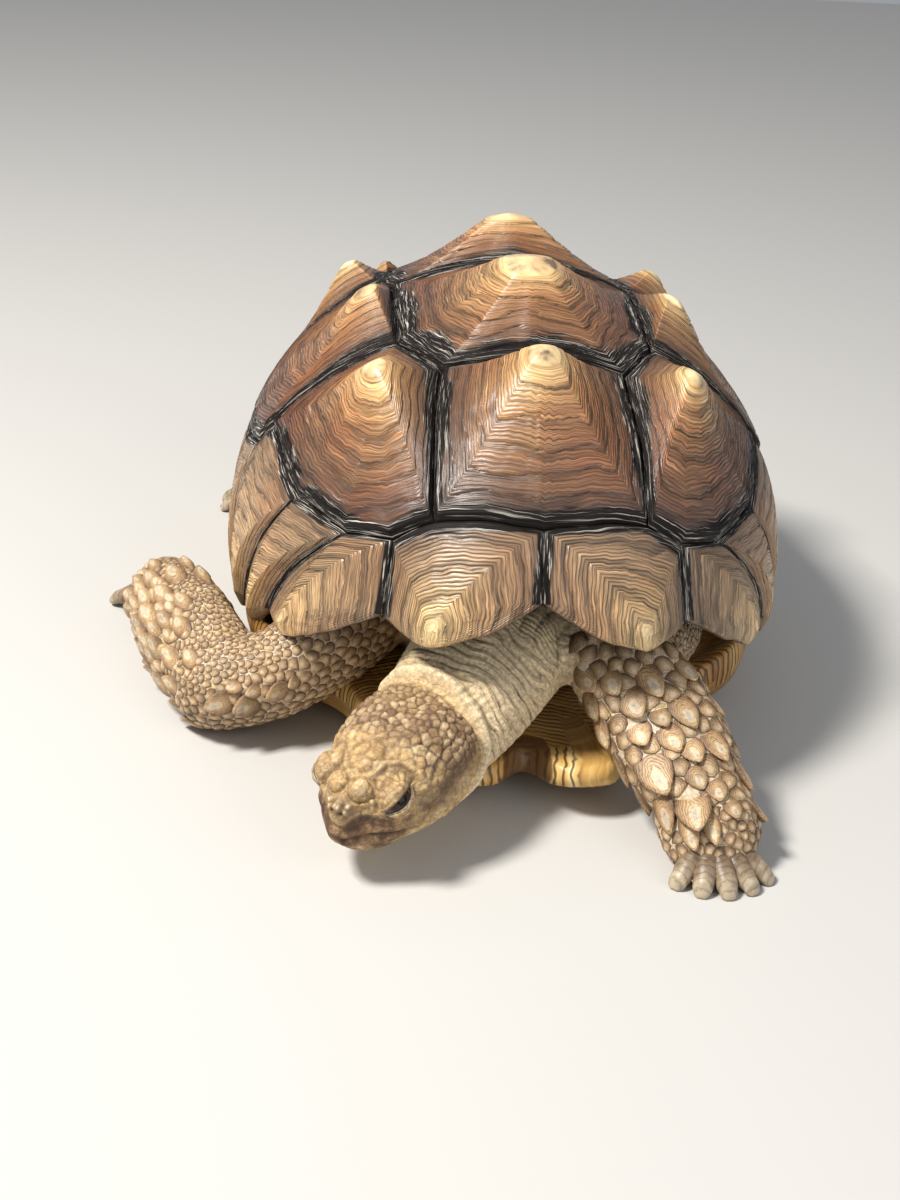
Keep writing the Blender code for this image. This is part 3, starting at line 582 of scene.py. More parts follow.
# %% Horn of the shell
SEAM_BLACK = (0.016, 0.013, 0.012)
CHALK = (0.58, 0.54, 0.48)
RUST = (0.7, 0.36, 0.2)
ROOF_AGES = [(0.0, (0.06, 0.03, 0.018)), (0.1, (0.125, 0.058, 0.028)),
             (0.24, (0.235, 0.115, 0.048)), (0.36, (0.36, 0.195, 0.08)),
             (0.45, (0.56, 0.345, 0.145)), (0.53, (0.76, 0.56, 0.27)), (0.62, (0.84, 0.68, 0.38))]
EDGE_AGES = [(0.0, (0.15, 0.09, 0.05)), (0.12, (0.285, 0.175, 0.092)),
             (0.28, (0.37, 0.235, 0.118)), (0.4, (0.5, 0.33, 0.155)),
             (0.48, (0.66, 0.46, 0.22)), (0.6, (0.78, 0.6, 0.32))]


def horn_material(name, ages, red_share):
    """Horn whose colour follows its age, from the seam (0) by the areola (0.5) to the tip."""
    material, tree, shader = new_material(name)
    place = object_place(tree)
    ring, age, young = three_values(tree, "growth")
    along = vector_of(tree, 0.0, 0.0, times(tree, ring, 0.75))
    streak = noise(tree, add_vectors(tree, place, along, 11.0), 1.0, detail=5.0, roughness=0.62)
    across = vector_of(tree, times(tree, ring, 3.3), 0.0, 0.0)
    fine = noise(tree, add_vectors(tree, place, across, 60.0), 1.0, detail=3.0, roughness=0.6)
    patch = noise(tree, place, 13.0, detail=4.0)
    uneven = swayed(tree, patch, 0.26, swayed(tree, streak, 0.42, times(tree, age, 0.5)))
    flank = ramp(tree, uneven, ages)
    red = ramp(tree, patch, [(0.46, 0.0), (0.62, 1.0)])
    flank = tinted(tree, flank, RUST, times(tree, red, red_share))
    lines = ramp(tree, fine, [(0.33, 0.22), (0.44, 0.84), (0.57, 1.22), (0.7, 1.85)])
    flank = tinted(tree, flank, lines)
    # Painted shade: the horn is darker in the low groove of every growth ridge and a little lighter on
    # its crest, less so near the areola.
    groove = ramp(tree, maths(tree, "FRACT", ring),
                  [(0.0, 0.26), (0.14, 0.95), (0.7, 1.16), (0.9, 0.6), (1.0, 0.22)])
    strength = ramp(tree, age, [(0.8, 0.85), (1.0, 0.12)])
    flank = tinted(tree, flank, groove, strength)
    mark = maths(tree, "MULTIPLY_ADD", fine, 0.7, times(tree, streak, 0.3))
    edge = mix(tree, ramp(tree, mark, [(0.545, 0.0), (0.635, 1.0)]), SEAM_BLACK, CHALK)
    ragged = swayed(tree, streak, 1.7, young)
    colour = mix(tree, ramp(tree, ragged, [(0.22, 0.0), (0.5, 1.0)]), flank, edge)
    # Painted shadow on the steps of the years: darker on the face where each step drops, a little
    # lighter on its top.
    step = ramp(tree, attribute(tree, "year"),
                [(0.0, 0.72), (0.12, 1.0), (0.55, 1.1), (0.8, 0.62), (0.92, 0.42), (1.0, 0.6)])
    colour = tinted(tree, colour, step, 0.75)
    link(tree, colour, shader.inputs["Base Color"])
    gloss = ramp(tree, ragged, [(0.2, 1.0), (0.5, 0.12)])
    for value, socket in ((ramp(tree, fine, [(0.3, 0.52), (0.7, 0.28)]), "Roughness"),
                          (times(tree, gloss, 0.5), "Specular IOR Level"),
                          (times(tree, gloss, 0.45), "Coat Weight"), (0.34, "Coat Roughness")):
        link(tree, value, shader.inputs[socket])
    first = bump(tree, shader, fine, 0.6, 0.0007)
    bump(tree, shader, noise(tree, place, 900.0, detail=2.0), 0.2, 0.0002, under=first)
    return material


HORN_ROOF = horn_material("horn_of_the_roof", ROOF_AGES, 0.55)
HORN_EDGE = horn_material("horn_of_the_edge", EDGE_AGES, 0.3)
print("horn materials:", HORN_ROOF.name, HORN_EDGE.name)

# %% All plates of the shell
VERTEBRAL_DARK = (17.0, 26.0, 22.0, 17.0, 13.0)  # width of the dark young horn, in mm
COSTAL_DARK = (16.0, 18.0, 17.0, 15.0)
EDGE_DARK = 9.0
VERTEBRAL_AREOLA = (0.15, 0.2, 0.19, 0.18, 0.18)  # areola against the whole plate
COSTAL_AREOLA = 0.12
EDGE_AREOLA = 0.06
UNDER_RING = 0.9  # ring of the hubs under the edge plates


def mirrored(names):
    """The same plate on the right side, walked the other way round."""
    middle = ("front_mid", "rear_mid")
    return tuple(n if n in middle else (n[1:] if n.startswith("-") else "-" + n)
                 for n in reversed(names))


def roof_plate(name, names, peak, rise, share, dark, seed):
    outline = closed_seams([corner(n) for n in names])
    make_plate(name, outline, np.ones(len(outline)), peak, rise, outline.mean(0), share,
               dark * MM, seed, HORN_ROOF)


for number, (names, (ring, bearing, rise)) in enumerate(zip(VERTEBRALS, VERTEBRAL_PEAKS)):
    roof_plate(f"vertebral_{number + 1}", names, disc(ring, bearing), rise,
               VERTEBRAL_AREOLA[number], VERTEBRAL_DARK[number], 10 + number)
for number, (names, (ring, bearing, rise)) in enumerate(zip(COSTALS, COSTAL_PEAKS)):
    roof_plate(f"costal_{number + 1}_left", names, disc(ring, bearing), rise,
               COSTAL_AREOLA, COSTAL_DARK[number], 20 + number)
    roof_plate(f"costal_{number + 1}_right", mirrored(names), disc(ring, -bearing), rise,
               COSTAL_AREOLA, COSTAL_DARK[number], 30 + number)
for number, names in enumerate(MARGINALS):
    outline, reach = edge_outline([corner(n) for n in names], number, number + 1)
    start, end = RIM_BEARINGS[number], RIM_BEARINGS[number + 1]
    peak = disc(MARGINAL_PEAK_RING, start + (end - start) * MARGINAL_SUMMITS[number])
    under = disc(UNDER_RING, (start + end) / 2)
    for label, side in (("left", (1, 1)), ("right", (-1, 1))):
        make_plate(f"marginal_{number + 1}_{label}", outline * side, reach, peak * side,
                   MARGINAL_RISE, under * side, EDGE_AREOLA, EDGE_DARK * MM,
                   40 + number + 20 * (side[0] < 0), HORN_EDGE)
rear_inner = [corner("m11_m12"), corner("rear_mid"), corner("-m11_m12")]
outline, reach = edge_outline(rear_inner, 11, 12)
make_plate("supracaudal", outline, reach, disc(MARGINAL_PEAK_RING, 180.0), MARGINAL_RISE,
           disc(UNDER_RING, 180.0), EDGE_AREOLA, EDGE_DARK * MM, 90, HORN_EDGE)
plates = [o for o in bpy.data.objects if o.name.startswith("plate_")]
print("plates:", len(plates), "faces:", sum(len(o.data.polygons) for o in plates))


# %% [markdown]
# ## What shows in the seams
#
# Between two plates the eye looks down on a dark, chalky floor.  It is one thin closed shell just
# under the plates, so no gap ever shows the flesh or daylight.

# %% Seam floor
FLOOR_RING = 0.9
FLOOR_TOP, FLOOR_UNDERSIDE = 3.0 * MM, 5.0 * MM  # below the dome
FLOOR_ROWS, UNDERSIDE_ROWS, FLOOR_COLUMNS = 46, 24, 140


def seam_floor():
    rings = np.concatenate([np.linspace(0.02, FLOOR_RING, FLOOR_ROWS),
                            np.linspace(FLOOR_RING, 0.02, UNDERSIDE_ROWS)])
    depths = np.repeat([FLOOR_TOP, FLOOR_UNDERSIDE], [FLOOR_ROWS, UNDERSIDE_ROWS])
    spots = disc(rings[:, None], np.arange(FLOOR_COLUMNS) * 360 / FLOOR_COLUMNS)
    rows = dome(spots) - dome_normal(spots) * depths[:, None, None]
    tips = [dome(np.zeros(2)) - (0, 0, depth) for depth in (FLOOR_TOP, FLOOR_UNDERSIDE)]
    points = np.concatenate([rows.reshape(-1, 3), tips])
    return mesh_from_arrays("seam_floor", points, *closed_tube(len(rings), FLOOR_COLUMNS))


def seam_material():
    material, tree, shader = new_material("young_horn_in_the_seams", roughness=0.7)
    place = object_place(tree)
    tone = noise(tree, place, 140.0, detail=4.0)
    colour = ramp(tree, tone, [(0.52, SEAM_BLACK), (0.7, (0.2, 0.17, 0.14))])
    link(tree, colour, shader.inputs["Base Color"])
    bump(tree, shader, tone, 0.5, 0.0006)
    return material


show("seam_floor", seam_floor(), seam_material())
print("seam floor at ring", FLOOR_RING)


# %% [markdown]
# ## One skin over all the flesh
#
# The flesh solids only touch, so copies of them are grown a little until they overlap, and a
# voxel remesh turns the lot into one closed surface with no seams.  Smoothing rounds off the
# facets.  The top of the trunk is hidden in the shell, so it is cut away first.  A Decimate
# modifier then lets most faces go under the shell and many on the legs, where scales cover them,
# and the head and the neck are divided finer, because that is where the eye looks.

# %% Flesh of the frame in one mesh
FLESH = ["head", "lower_jaw", "neck", "trunk", "tail"]
for side in ("left", "right"):
    FLESH += [f"upper_arm_{side}", f"forearm_{side}", f"forefoot_{side}", f"thigh_{side}",
              f"hind_foot_{side}"]
OVERLAP = 1.3 * MM
VOXEL = 3.6 * MM
TRUNK_CUT = 0.11


def flesh_copy(name):
    shape = bmesh.new()
    shape.from_mesh(bpy.data.objects[name].data)
    bmesh.ops.remove_doubles(shape, verts=shape.verts[:], dist=0.01 * MM)
    shape.normal_update()
    for vert in shape.verts:
        vert.co += vert.normal * OVERLAP
    if name == "trunk":
        whole = shape.verts[:] + shape.edges[:] + shape.faces[:]
        bmesh.ops.bisect_plane(shape, geom=whole, plane_co=(0, 0, TRUNK_CUT),
                               plane_no=(0, 0, 1), clear_outer=True)
        bmesh.ops.holes_fill(shape, edges=[e for e in shape.edges if e.is_boundary])
    mesh = bpy.data.meshes.new(f"flesh_{name}")
    shape.to_mesh(mesh)
    shape.free()
    return mesh


def baked(item):
    """The evaluated object as a plain mesh; the helper object is removed."""
    graph = bpy.context.evaluated_depsgraph_get()
    mesh = bpy.data.meshes.new_from_object(item.evaluated_get(graph))
    bpy.data.objects.remove(item)
    return mesh


def voxel_skin():
    joined = bmesh.new()
    for name in FLESH + ["eye_left", "eye_right"]:
        joined.from_mesh(flesh_copy(name))
    mesh = bpy.data.meshes.new("flesh")
    joined.to_mesh(mesh)
    joined.free()
    item = bpy.data.objects.new("flesh", mesh)
    bpy.context.scene.collection.objects.link(item)
    remesh = item.modifiers.new("one_surface", "REMESH")
    remesh.mode = "VOXEL"
    remesh.voxel_size = VOXEL
    return baked(item)


def numbers_of(items, field, width, kind=np.int32):
    """One field of all of a mesh's vertices, edges or faces, as rows of an array."""
    flat = np.empty(len(items) * width, kind)
    items.foreach_get(field, flat)
    return flat.reshape(-1, width)


def points_of(mesh):
    return numbers_of(mesh.vertices, "co", 3, np.float32).astype(float)


def normals_of(mesh, points):
    put_points(mesh, points)
    mesh.update()
    return numbers_of(mesh.vertex_normals, "vector", 3, np.float32).astype(float)


def relax(mesh, points, passes, share=1.0):
    """Smooths without shrinking: a step towards the neighbours, then a longer step back."""
    edges = numbers_of(mesh.edges, "vertices", 2)
    count = len(points)
    degree = np.maximum(np.bincount(edges.ravel(), minlength=count), 1)[:, None]
    share = np.broadcast_to(np.reshape(share, (-1, 1)), (count, 1))
    for _ in range(passes):
        for factor in (0.5, -0.515):
            total = np.stack([np.bincount(edges[:, 0], points[edges[:, 1], k], count)
                              + np.bincount(edges[:, 1], points[edges[:, 0], k], count)
                              for k in range(3)], -1)
            points = points + (total / degree - points) * factor * share
    return points


skin = voxel_skin()
skin_points = relax(skin, points_of(skin), 26)
skin_points -= normals_of(skin, skin_points) * OVERLAP
put_points(skin, skin_points)
print("skin points after the remesh:", len(skin_points))

# %% Finer faces on the head and the neck, fewer where the shell and the scales hide them
HIDDEN_LET_GO, LEGS_LET_GO = 0.94, 0.7  # shares of their faces
SHELL_PLAN = np.array([0.165, 0.205])  # half width and length of the shell's opening
HEAD_PLACE = np.array([-0.0792, -0.2795, 0.0512])
HEAD_TURN = np.array(Euler((radians(5), radians(2), radians(-37)), "XYZ").to_matrix())
NECK_PATH = np.array([(0, -150, 88), (-10, -180, 85), (-26, -207, 75),
                      (-43, -232, 64), (-58, -252, 56)]) / 1000


def in_head(points):
    """Places in millimetres from the middle of the head: left, back and up."""
    return (points - HEAD_PLACE) @ HEAD_TURN / MM


def nearest_on(points, path):
    """The place on a path that is nearest to each point: how far along it lies, how far away,
    where it is, and which way the path runs there."""
    best = np.full(len(points), np.inf)
    run = np.zeros(len(points))
    centre, along = np.zeros((2, len(points), 3))
    start = 0.0
    for a, b in zip(path, path[1:]):
        length = norm(b - a)
        t = np.clip((points - a) @ (b - a) / length ** 2, 0, 1)
        near = a + t[:, None] * (b - a)
        away = norm(points - near, axis=1)
        nearer = away < best
        best = np.where(nearer, away, best)
        run = np.where(nearer, start + t * length, run)
        centre[nearer] = near[nearer]
        along[nearer] = (b - a) / length
        start += length
    return run, best, centre, along


def along_path(points, path):
    return nearest_on(points, path)[:2]


def near_head(points):
    local = in_head(points)
    return (np.abs(local[:, 0]) < 48) & (local[:, 1] < 44) & (local[:, 1] > -62) & \
        (np.abs(local[:, 2]) < 45)


def near_neck(points):
    run, away = along_path(points, NECK_PATH)
    return near_head(points) | ((away < 0.056) & (run > 0.03) & (points[:, 2] > 0.02))


def thin(mesh, chosen, let_go):
    """The mesh with a share of the faces let go where chosen says so."""
    item = bpy.data.objects.new("flesh", mesh)
    bpy.context.scene.collection.objects.link(item)
    item.vertex_groups.new(name="thin").add(np.flatnonzero(chosen).tolist(), 1.0, "REPLACE")
    modifier = item.modifiers.new("thin", "DECIMATE")
    modifier.vertex_group = "thin"
    modifier.ratio = 1 - let_go * chosen.mean()
    return baked(item)


def in_plan(points):
    """0 in the middle of the shell's opening and 1 on its edge, seen from above."""
    return norm(points[:, :2] / SHELL_PLAN, axis=1)


def under_shell(points):
    return (in_plan(points) < 0.74) & (points[:, 1] > -0.14)


def upper_neck(points):
    run, away = along_path(points, NECK_PATH)
    return near_head(points) | ((away < 0.048) & (run > 0.04) & (points[:, 2] > 0.05))


def refine(mesh, chosen):
    marks = chosen(points_of(mesh))
    shape = bmesh.new()
    shape.from_mesh(mesh)
    edges = [e for e in shape.edges if marks[e.verts[0].index] and marks[e.verts[1].index]]
    bmesh.ops.subdivide_edges(shape, edges=edges, cuts=1, use_grid_fill=True)
    shape.to_mesh(mesh)
    shape.free()
    points = points_of(mesh)
    return relax(mesh, points, 3, chosen(points).astype(float))


skin = thin(skin, under_shell(skin_points), HIDDEN_LET_GO)
skin = thin(skin, ~near_neck(points_of(skin)), LEGS_LET_GO)
for region in (near_neck, upper_neck):
    skin_points = refine(skin, region)
    put_points(skin, skin_points)
print("skin points after refining:", len(skin_points))

# %% [markdown]
# ## Sculpting the head
#
# Sculpting in code means adding soft bumps and grooves along the surface normal.  They are
# placed in the head's own measures, in millimetres, and the left side is the mirror of the
# right: heavy upper lids over half-closed eyes, a pair of big plates behind the nose, a domed
# forehead, knobs round the nostrils, a hooked beak over the jaw, and a thick collar of skin.


# %% Sculpting tools
EYE_SPOT = np.array([20.6, -27.5, 5.3])  # in the head's millimetres
EYE_BALL = 9.7
EYE_OUT = unit(np.array([0.76, -0.36, 0.52]))
EYE_LONG = np.array([0.2, 0.87, 0.45])
EYE_LONG = unit(EYE_LONG - EYE_OUT * (EYE_LONG @ EYE_OUT))
EYE_TALL = np.cross(EYE_OUT, EYE_LONG)
EYE_HALF_LENGTH = 0.96  # of the opening, in eyeball radii
UPPER_LID, LOWER_LID = 0.11, -0.38


def bell(distance):
    return np.exp(-distance ** 2)


def away_from(spots, centre, size):
    """Distance from a centre, in units of a size that may differ by direction."""
    return norm((spots - np.array(centre)) / np.array(size), axis=1)


def mirror_x(spots):
    """Spots of both sides of the head, all taken to its left side."""
    return np.abs(spots * (1, 0, 0)) + spots * (0, 1, 1)


def lid_edges(along):
    """Height of the upper and lower edge of the opening, in eyeball radii."""
    bow = np.maximum(1 - (along / EYE_HALF_LENGTH) ** 2, 0)
    return UPPER_LID * bow ** 0.8 + 0.04, LOWER_LID * bow ** 0.6


def mouth_height(back):
    return np.interp(back, [-53, -49, -42, -28, -8, 8], [-16.5, -14.0, -11.0, -12.4, -16.5, -19])


def collar_distance(spots):
    """How far behind the collar's crest a spot lies."""
    up = spots[:, 2]
    crest = 39.5 + np.where(up > 5, 0.2, 0.85) * (up - 5)
    return spots[:, 1] - crest


# %% Scales of the head as cells
def scale_size(spots):
    """Radius in millimetres of the scales at each spot of the head."""
    x, y, z = mirror_x(spots).T
    size = np.full(len(spots), 2.5)
    size = np.where((z > 14) & (y > -14), 2.2, size)
    size = np.where((z > 12) & (y > -16) & (y < 4) & (x > 13), 3.2, size)
    size = np.where((z > 16) & (y < -10) & (y > -36) & (x < 13), 3.6, size)
    size = np.where(y < -43, 1.7, size)
    return np.where(away_from(mirror_x(spots), EYE_SPOT, 1.0) < 13, 1.7, size)


def scattered(spots, sizes, first, seed, crowd=1.0):
    """Picks spots so that none is closer to another than their sizes allow."""
    order = np.random.default_rng(seed).permutation(len(spots))
    cell = 2 * sizes.max() * crowd
    taken = {}
    chosen = []
    queue = [(s, r) for s, r in first] + [(spots[i], sizes[i]) for i in order]
    for spot, size in queue:
        a, b, c = (int(v // cell) for v in spot)
        rivals = [rival for i in (-1, 0, 1) for j in (-1, 0, 1) for k in (-1, 0, 1)
                  for rival in taken.get((a + i, b + j, c + k), ())]
        near = any((spot[0] - r[0]) ** 2 + (spot[1] - r[1]) ** 2 + (spot[2] - r[2]) ** 2
                   < ((size + r[3]) * crowd) ** 2 for r in rivals)
        if not near:
            taken.setdefault((a, b, c), []).append((*spot, size))
            chosen.append((*spot, size))
    return np.array(chosen)


def cells(spots, seeds):
    """Nearest seed, and distance to the border with the next one."""
    tree = KDTree(len(seeds))
    for index, seed in enumerate(seeds):
        tree.insert(seed[:3], index)
    tree.balance()
    nearest = np.zeros(len(spots), int)
    border = np.zeros(len(spots))
    for index, spot in enumerate(spots):
        (_, first, near), (_, _, far) = tree.find_n(spot, 2)
        nearest[index] = first
        border[index] = (far - near) / 2
    return nearest, border


# %% Folds and forms of the head
BROW_FOLD = np.array([(20.0, -40.0, 5.0), (14.0, -37.0, 12.5), (11.0, -32.4, 18.0),
                      (14.0, -24.0, 22.0), (18.3, -18.5, 21.3), (26.0, -16.3, 15.7),
                      (29.6, -18.5, 8.5)])
EAR_FOLD = np.array([(30.2, 22.0, 22.8), (29.8, 8.7, 22.5), (30.7, -6.0, 14.7), (31.5, -11.0, 8.0)])
CHEEK_FOLD = np.array([(36.0, -2.0, -2.0), (33.0, -13.0, -5.0), (29.0, -24.0, -7.5)])
# Path of a dark band behind the eye, under the ear fold: partly the skin's own brown, partly painted
# shade.
CHEEK_PAINTED_SHADE = np.array([(34, 24, 15), (36, 8, 10), (35, -4, 4), (33, -13, -2)])
FRONT_FOLD = np.array([(0.0, -35.5, 19.0), (6.0, -32.0, 20.0), (9.5, -26.0, 22.5), (8.0, -17.0, 26.0),
                       (0.0, -13.5, 27.5)])
NOSTRIL_KNOBS = ((1.0, -50.5, 9.0), (4.6, -50.0, 9.6), (7.4, -48.6, 7.0), (1.4, -51.0, 5.6),
                 (6.8, -49.0, 3.4))
NOSE_PLATE = (7.6, -41, 14)
HEAD_FORMS = (  # height, middle and size in mm; a form with a height below 0 is a hollow
    (2.6, (0, -25, 23), (9, 8, 9)),  # plate of the forehead
    (3.6, (18.5, -27.5, 16.0), (8, 9.5, 6.0)),  # brow
    (-1.0, (0, -41, 15), (1.3, 7, 9)),  # groove between the plates of the nose
    (-2.3, (15.5, -46.5, 0.5), (5, 6, 6)),  # hollow before the eye
    (-1.5, (0, -53, -6.5), (10, 5, 3)),  # step down from the nose to the bill
    (-2.4, (13, -49, -5.5), (6, 7, 5.5)),  # narrow sides of the bill
    (1.0, (0, -52, -12.5), (6, 5, 2.5)),  # hook
    (-2.6, (3.9, -52, 2.2), 1.5),  # nostril
    (1.7, (34, 8, -5), (12, 17, 13)),  # muscle of the jaw
    (1.6, (0, -51, -1), (7, 4, 4.5)),  # tip of the nose
    (-1.3, (30, -13, -4), (8, 5, 8)),  # corner of the mouth
    (-1.4, (36, 14, 2), (9, 9, 9)),  # eardrum
    (1.3, (16, 13, 28), (9, 16, 10)),  # temple
)


# %% Pushing the forms out
def fold_lines(both):
    """Nearness to the folds that part the big forms of the head."""
    lines = [share * bell(along_path(both, path)[1] / width) for path, share, width in
             ((BROW_FOLD, 1.0, 1.7), (EAR_FOLD, 0.9, 1.6), (CHEEK_FOLD, 0.6, 1.8),
              (FRONT_FOLD, 0.7, 1.5))]
    plate = away_from(both, NOSE_PLATE, 1.0)
    return np.maximum(np.max(lines, axis=0), 0.8 * bell((plate - 6.8) / 1.0) * (both[:, 2] > 8))


def beak_wrinkles(spots):
    """Fine creases that run back along the beak, between the mouth and the eye."""
    above = spots[:, 2] - mouth_height(spots[:, 1])
    wave = above + 0.16 * spots[:, 1] + 1.6 * ripples(spots, 9, 35, 2)
    place = ease(2.0, 4.0, above) * ease(15, 11, above) * ease(-8, -18, spots[:, 1])
    return np.abs(np.cos(wave * pi / 3.0)) ** 6 * place


def sculpt_head(spots):
    """Millimetres to push each spot outwards, for the big forms of the head."""
    both = mirror_x(spots)
    x, y, z = both.T
    push = sum(height * bell(away_from(both, middle, size)) for height, middle, size in HEAD_FORMS)
    plate = away_from(both, NOSE_PLATE, 1.0)
    push += 3.2 * bell(plate / 5.6) - 1.2 * bell((plate - 7.4) / 1.3)
    push -= 1.5 * fold_lines(both)
    push += 1.3 * ripples(spots, 13, 31, 2) * ease(6, 14, z) * ease(4, -10, y)
    push += 0.9 * ripples(spots, 8, 33, 2) * ease(14, 22, z) * ease(-12, 0, y)
    for knob in NOSTRIL_KNOBS:
        push += 2.1 * bell(away_from(both, knob, 1.8))
    push -= 1.5 * bell(x / 4.6) * ease(-10, 2, y) * ease(38, 24, y) * ease(10, 20, z)
    push -= 0.5 * beak_wrinkles(spots)
    above = z - mouth_height(y)
    mouth = ease(8, -4, y) * ease(-40, -30, z)
    push -= 2.3 * bell(above / 0.9) * mouth
    push += 1.3 * bell((above - 2.8) / 2.4) * mouth
    push += 0.9 * bell((above + 5.0) / 3.0) * mouth
    push += 2.6 * bell(away_from(both, (9, -34, -23), (12, 15, 7))) * ease(-1, -3, above)
    behind = collar_distance(spots)
    thick = 3.0 + 0.8 * np.sin(0.13 * spots[:, 0] + 1.2)
    push += thick * bell(behind / 3.3) - 2.2 * bell((behind + 6.4) / 2.4)
    push -= 1.8 * bell((behind - 6.6) / 2.6)
    return push


# %% Snout, marks and lids
def snout_taper(spots):
    """How much narrower the snout is than the solid head, as a share of its width."""
    return 0.27 * ease(-33, -50, spots[:, 1]) * ease(13, 5, spots[:, 2])


def head_marks(spots):
    """Where the folds, the nostril knobs, the nostrils, the dark patch of the beak and the painted
    shade behind the eye lie.
    """
    both = mirror_x(spots)
    knobs = np.max([bell(away_from(both, knob, 1.7)) for knob in NOSTRIL_KNOBS], axis=0)
    nostrils = bell(away_from(both, (4, -50, 4.5), (9.5, 6, 7)) ** 2) * (1 - knobs)
    nostrils = np.maximum(nostrils, 1.4 * bell(away_from(both, (3.9, -51.5, 2.4), (2.0, 4, 1.6))))
    beak_stain_and_cheek_shade = bell(away_from(both, (11.0, -48.5, -7.5), (10, 6, 6.5)))
    beak_stain_and_cheek_shade = np.maximum(beak_stain_and_cheek_shade, bell(along_path(both, CHEEK_PAINTED_SHADE)[1] / 8.5))
    folds = np.maximum(fold_lines(both), 0.6 * beak_wrinkles(spots))
    return folds, knobs, nostrils, beak_stain_and_cheek_shade


def sculpt_eyes(spots):
    """Moves spots round the eyes onto the lids, and those in the opening behind the eyeball."""
    side = np.sign(spots[:, 0])
    ray = mirror_x(spots) - EYE_SPOT
    reach = norm(ray, axis=1)
    ray = ray / reach[:, None]
    out, along, up = ray @ EYE_OUT, ray @ EYE_LONG, ray @ EYE_TALL
    upper, lower = lid_edges(along)
    stripes = np.abs(np.sin((along * 1.1 + 0.35 * up) * 8.0)) ** 0.7
    lid = EYE_BALL + 1.1 + 1.5 * ease(0.1, 0.5, up) + 0.5 * ease(-0.2, -0.6, up)
    lid += 0.5 * (stripes - 0.6) * ease(0.22, 0.4, up)
    opening = (np.abs(along) < EYE_HALF_LENGTH) & (up < upper + 0.05) & (up > lower - 0.05)
    lid = np.where(opening & (out > 0), EYE_BALL - 2.2, lid)
    share = ease(0.1, 0.5, out) * (reach < 17) * ease(0.98, 0.72, up)
    reach = reach + (lid - reach) * share
    moved = EYE_SPOT + ray * reach[:, None]
    moved[:, 0] *= side
    return moved


# %% Sculpt the head
points = points_of(skin)
normals = normals_of(skin, points)
local = in_head(points)
turned = normals @ HEAD_TURN
headness = near_head(points) * ease(56, 48, local[:, 1])
behind_head = ease(62, 48, local[:, 1]) * (along_path(points, NECK_PATH)[1] < 0.06)
headness = np.where(local[:, 1] > 44, behind_head, headness)
on_head = np.flatnonzero(near_head(points))
marks = head_marks(local[on_head])
local = local + turned * (sculpt_head(local) * headness)[:, None]
local[:, 0] *= 1 - snout_taper(local) * headness
local[on_head] = sculpt_eyes(local[on_head])
points = HEAD_PLACE + local * MM @ HEAD_TURN.T
points = relax(skin, points, 1, 0.5 * (headness > 0))
print("points of the head:", len(on_head))

# %% Scales pressed into the head
FIRST_SCALES = [((side * x, y, z), r) for side in (-1, 1) for x, y, z, r in
                ((7.8, -41, 15, 6.0), (4.4, -31, 20.5, 3.6), (5.0, -22, 24, 4.4))]

normals = normals_of(skin, points)
local = in_head(points)
spots = local[on_head]
seeds = scattered(spots, scale_size(spots), FIRST_SCALES, 5, 0.92)
nearest, border = cells(spots, seeds)
folds, knobs, nostrils, beak_stain_and_cheek_shade = marks
above = spots[:, 2] - mouth_height(spots[:, 1])
beak = ease(14, 10, above) * ease(-19, -28, spots[:, 1]) * ease(-30, -22, spots[:, 2])
lumpy = ease(-5, -13, collar_distance(spots)) * (1 - beak) * ease(-4, 3, above)
crumb = 0.35 + 0.65 * ease(1.2, 2.6, seeds[nearest, 3])
crown = ease(8, 18, spots[:, 2]) * ease(-16, -4, spots[:, 1])
dent = (0.5 + 0.12 * crown) * crumb * (1 - np.exp(-(border / 1.2) ** 2)) \
    - (0.35 + 0.3 * crown) * crumb * bell(border / 0.45)
points[on_head] += normals[on_head] * (dent * lumpy * MM)[:, None]
# Painted shade: the groove channel darkens the borders between the head's scales, the mouth line, the
# folds and the nostril holes; round the knobs the nose is partly its own dark colour. The channel also
# carries the dark patch on the beak, its own colour, and the band behind the eye, part brown skin and
# part painted shade.
groove = np.zeros(len(points))
lip = bell(above / 0.9) * ease(6, -4, spots[:, 1]) * ease(-30, -24, spots[:, 2])
groove[on_head] = np.maximum(bell(border / 0.5) * lumpy * (0.4 + 0.55 * crown), lip)
groove[on_head] = np.maximum(groove[on_head], 0.8 * folds)
groove[on_head] = np.max([groove[on_head], nostrils, 0.9 * beak_stain_and_cheek_shade], axis=0)
# The third channel of kind also paints the neck paler, as painted light.
kind = np.zeros((len(points), 3))  # beak, crown and collar
kind[on_head, 0] = beak
kind[on_head, 1] = crown * lumpy
tone = np.zeros(len(points))
tone[on_head] = np.random.default_rng(8).uniform(0, 1, len(seeds))[nearest] * lumpy
print("scales on the head:", len(seeds))

# %% Creases of the neck
run, away = along_path(points, NECK_PATH)
neck = ease(0.06, 0.05, away) * ease(2, 9, collar_distance(local)) * ease(0.012, 0.03, run)
wave = run / MM + 5.0 * ripples(points, 0.045, 11) + 0.05 * np.abs(local[:, 0])
crease = np.abs(np.sin(wave * pi / 6.0)) ** 0.8
small = np.abs(np.sin(wave * pi / 2.9 + 2.0 * ripples(points, 0.03, 12))) ** 0.8
across = points @ np.array([0.869, -0.494, 0.0]) / MM
drape = np.abs(np.sin((across + 5 * ripples(points, 0.06, 14)) * pi / 10)) ** 0.7
loose = neck * ease(0.062, 0.045, run) * ease(-4, 8, across)
crease = crease + (drape - crease) * 0.8 * loose
points += normals * ((crease * 1.6 + small * 0.7 - 1.6) * neck * MM)[:, None]
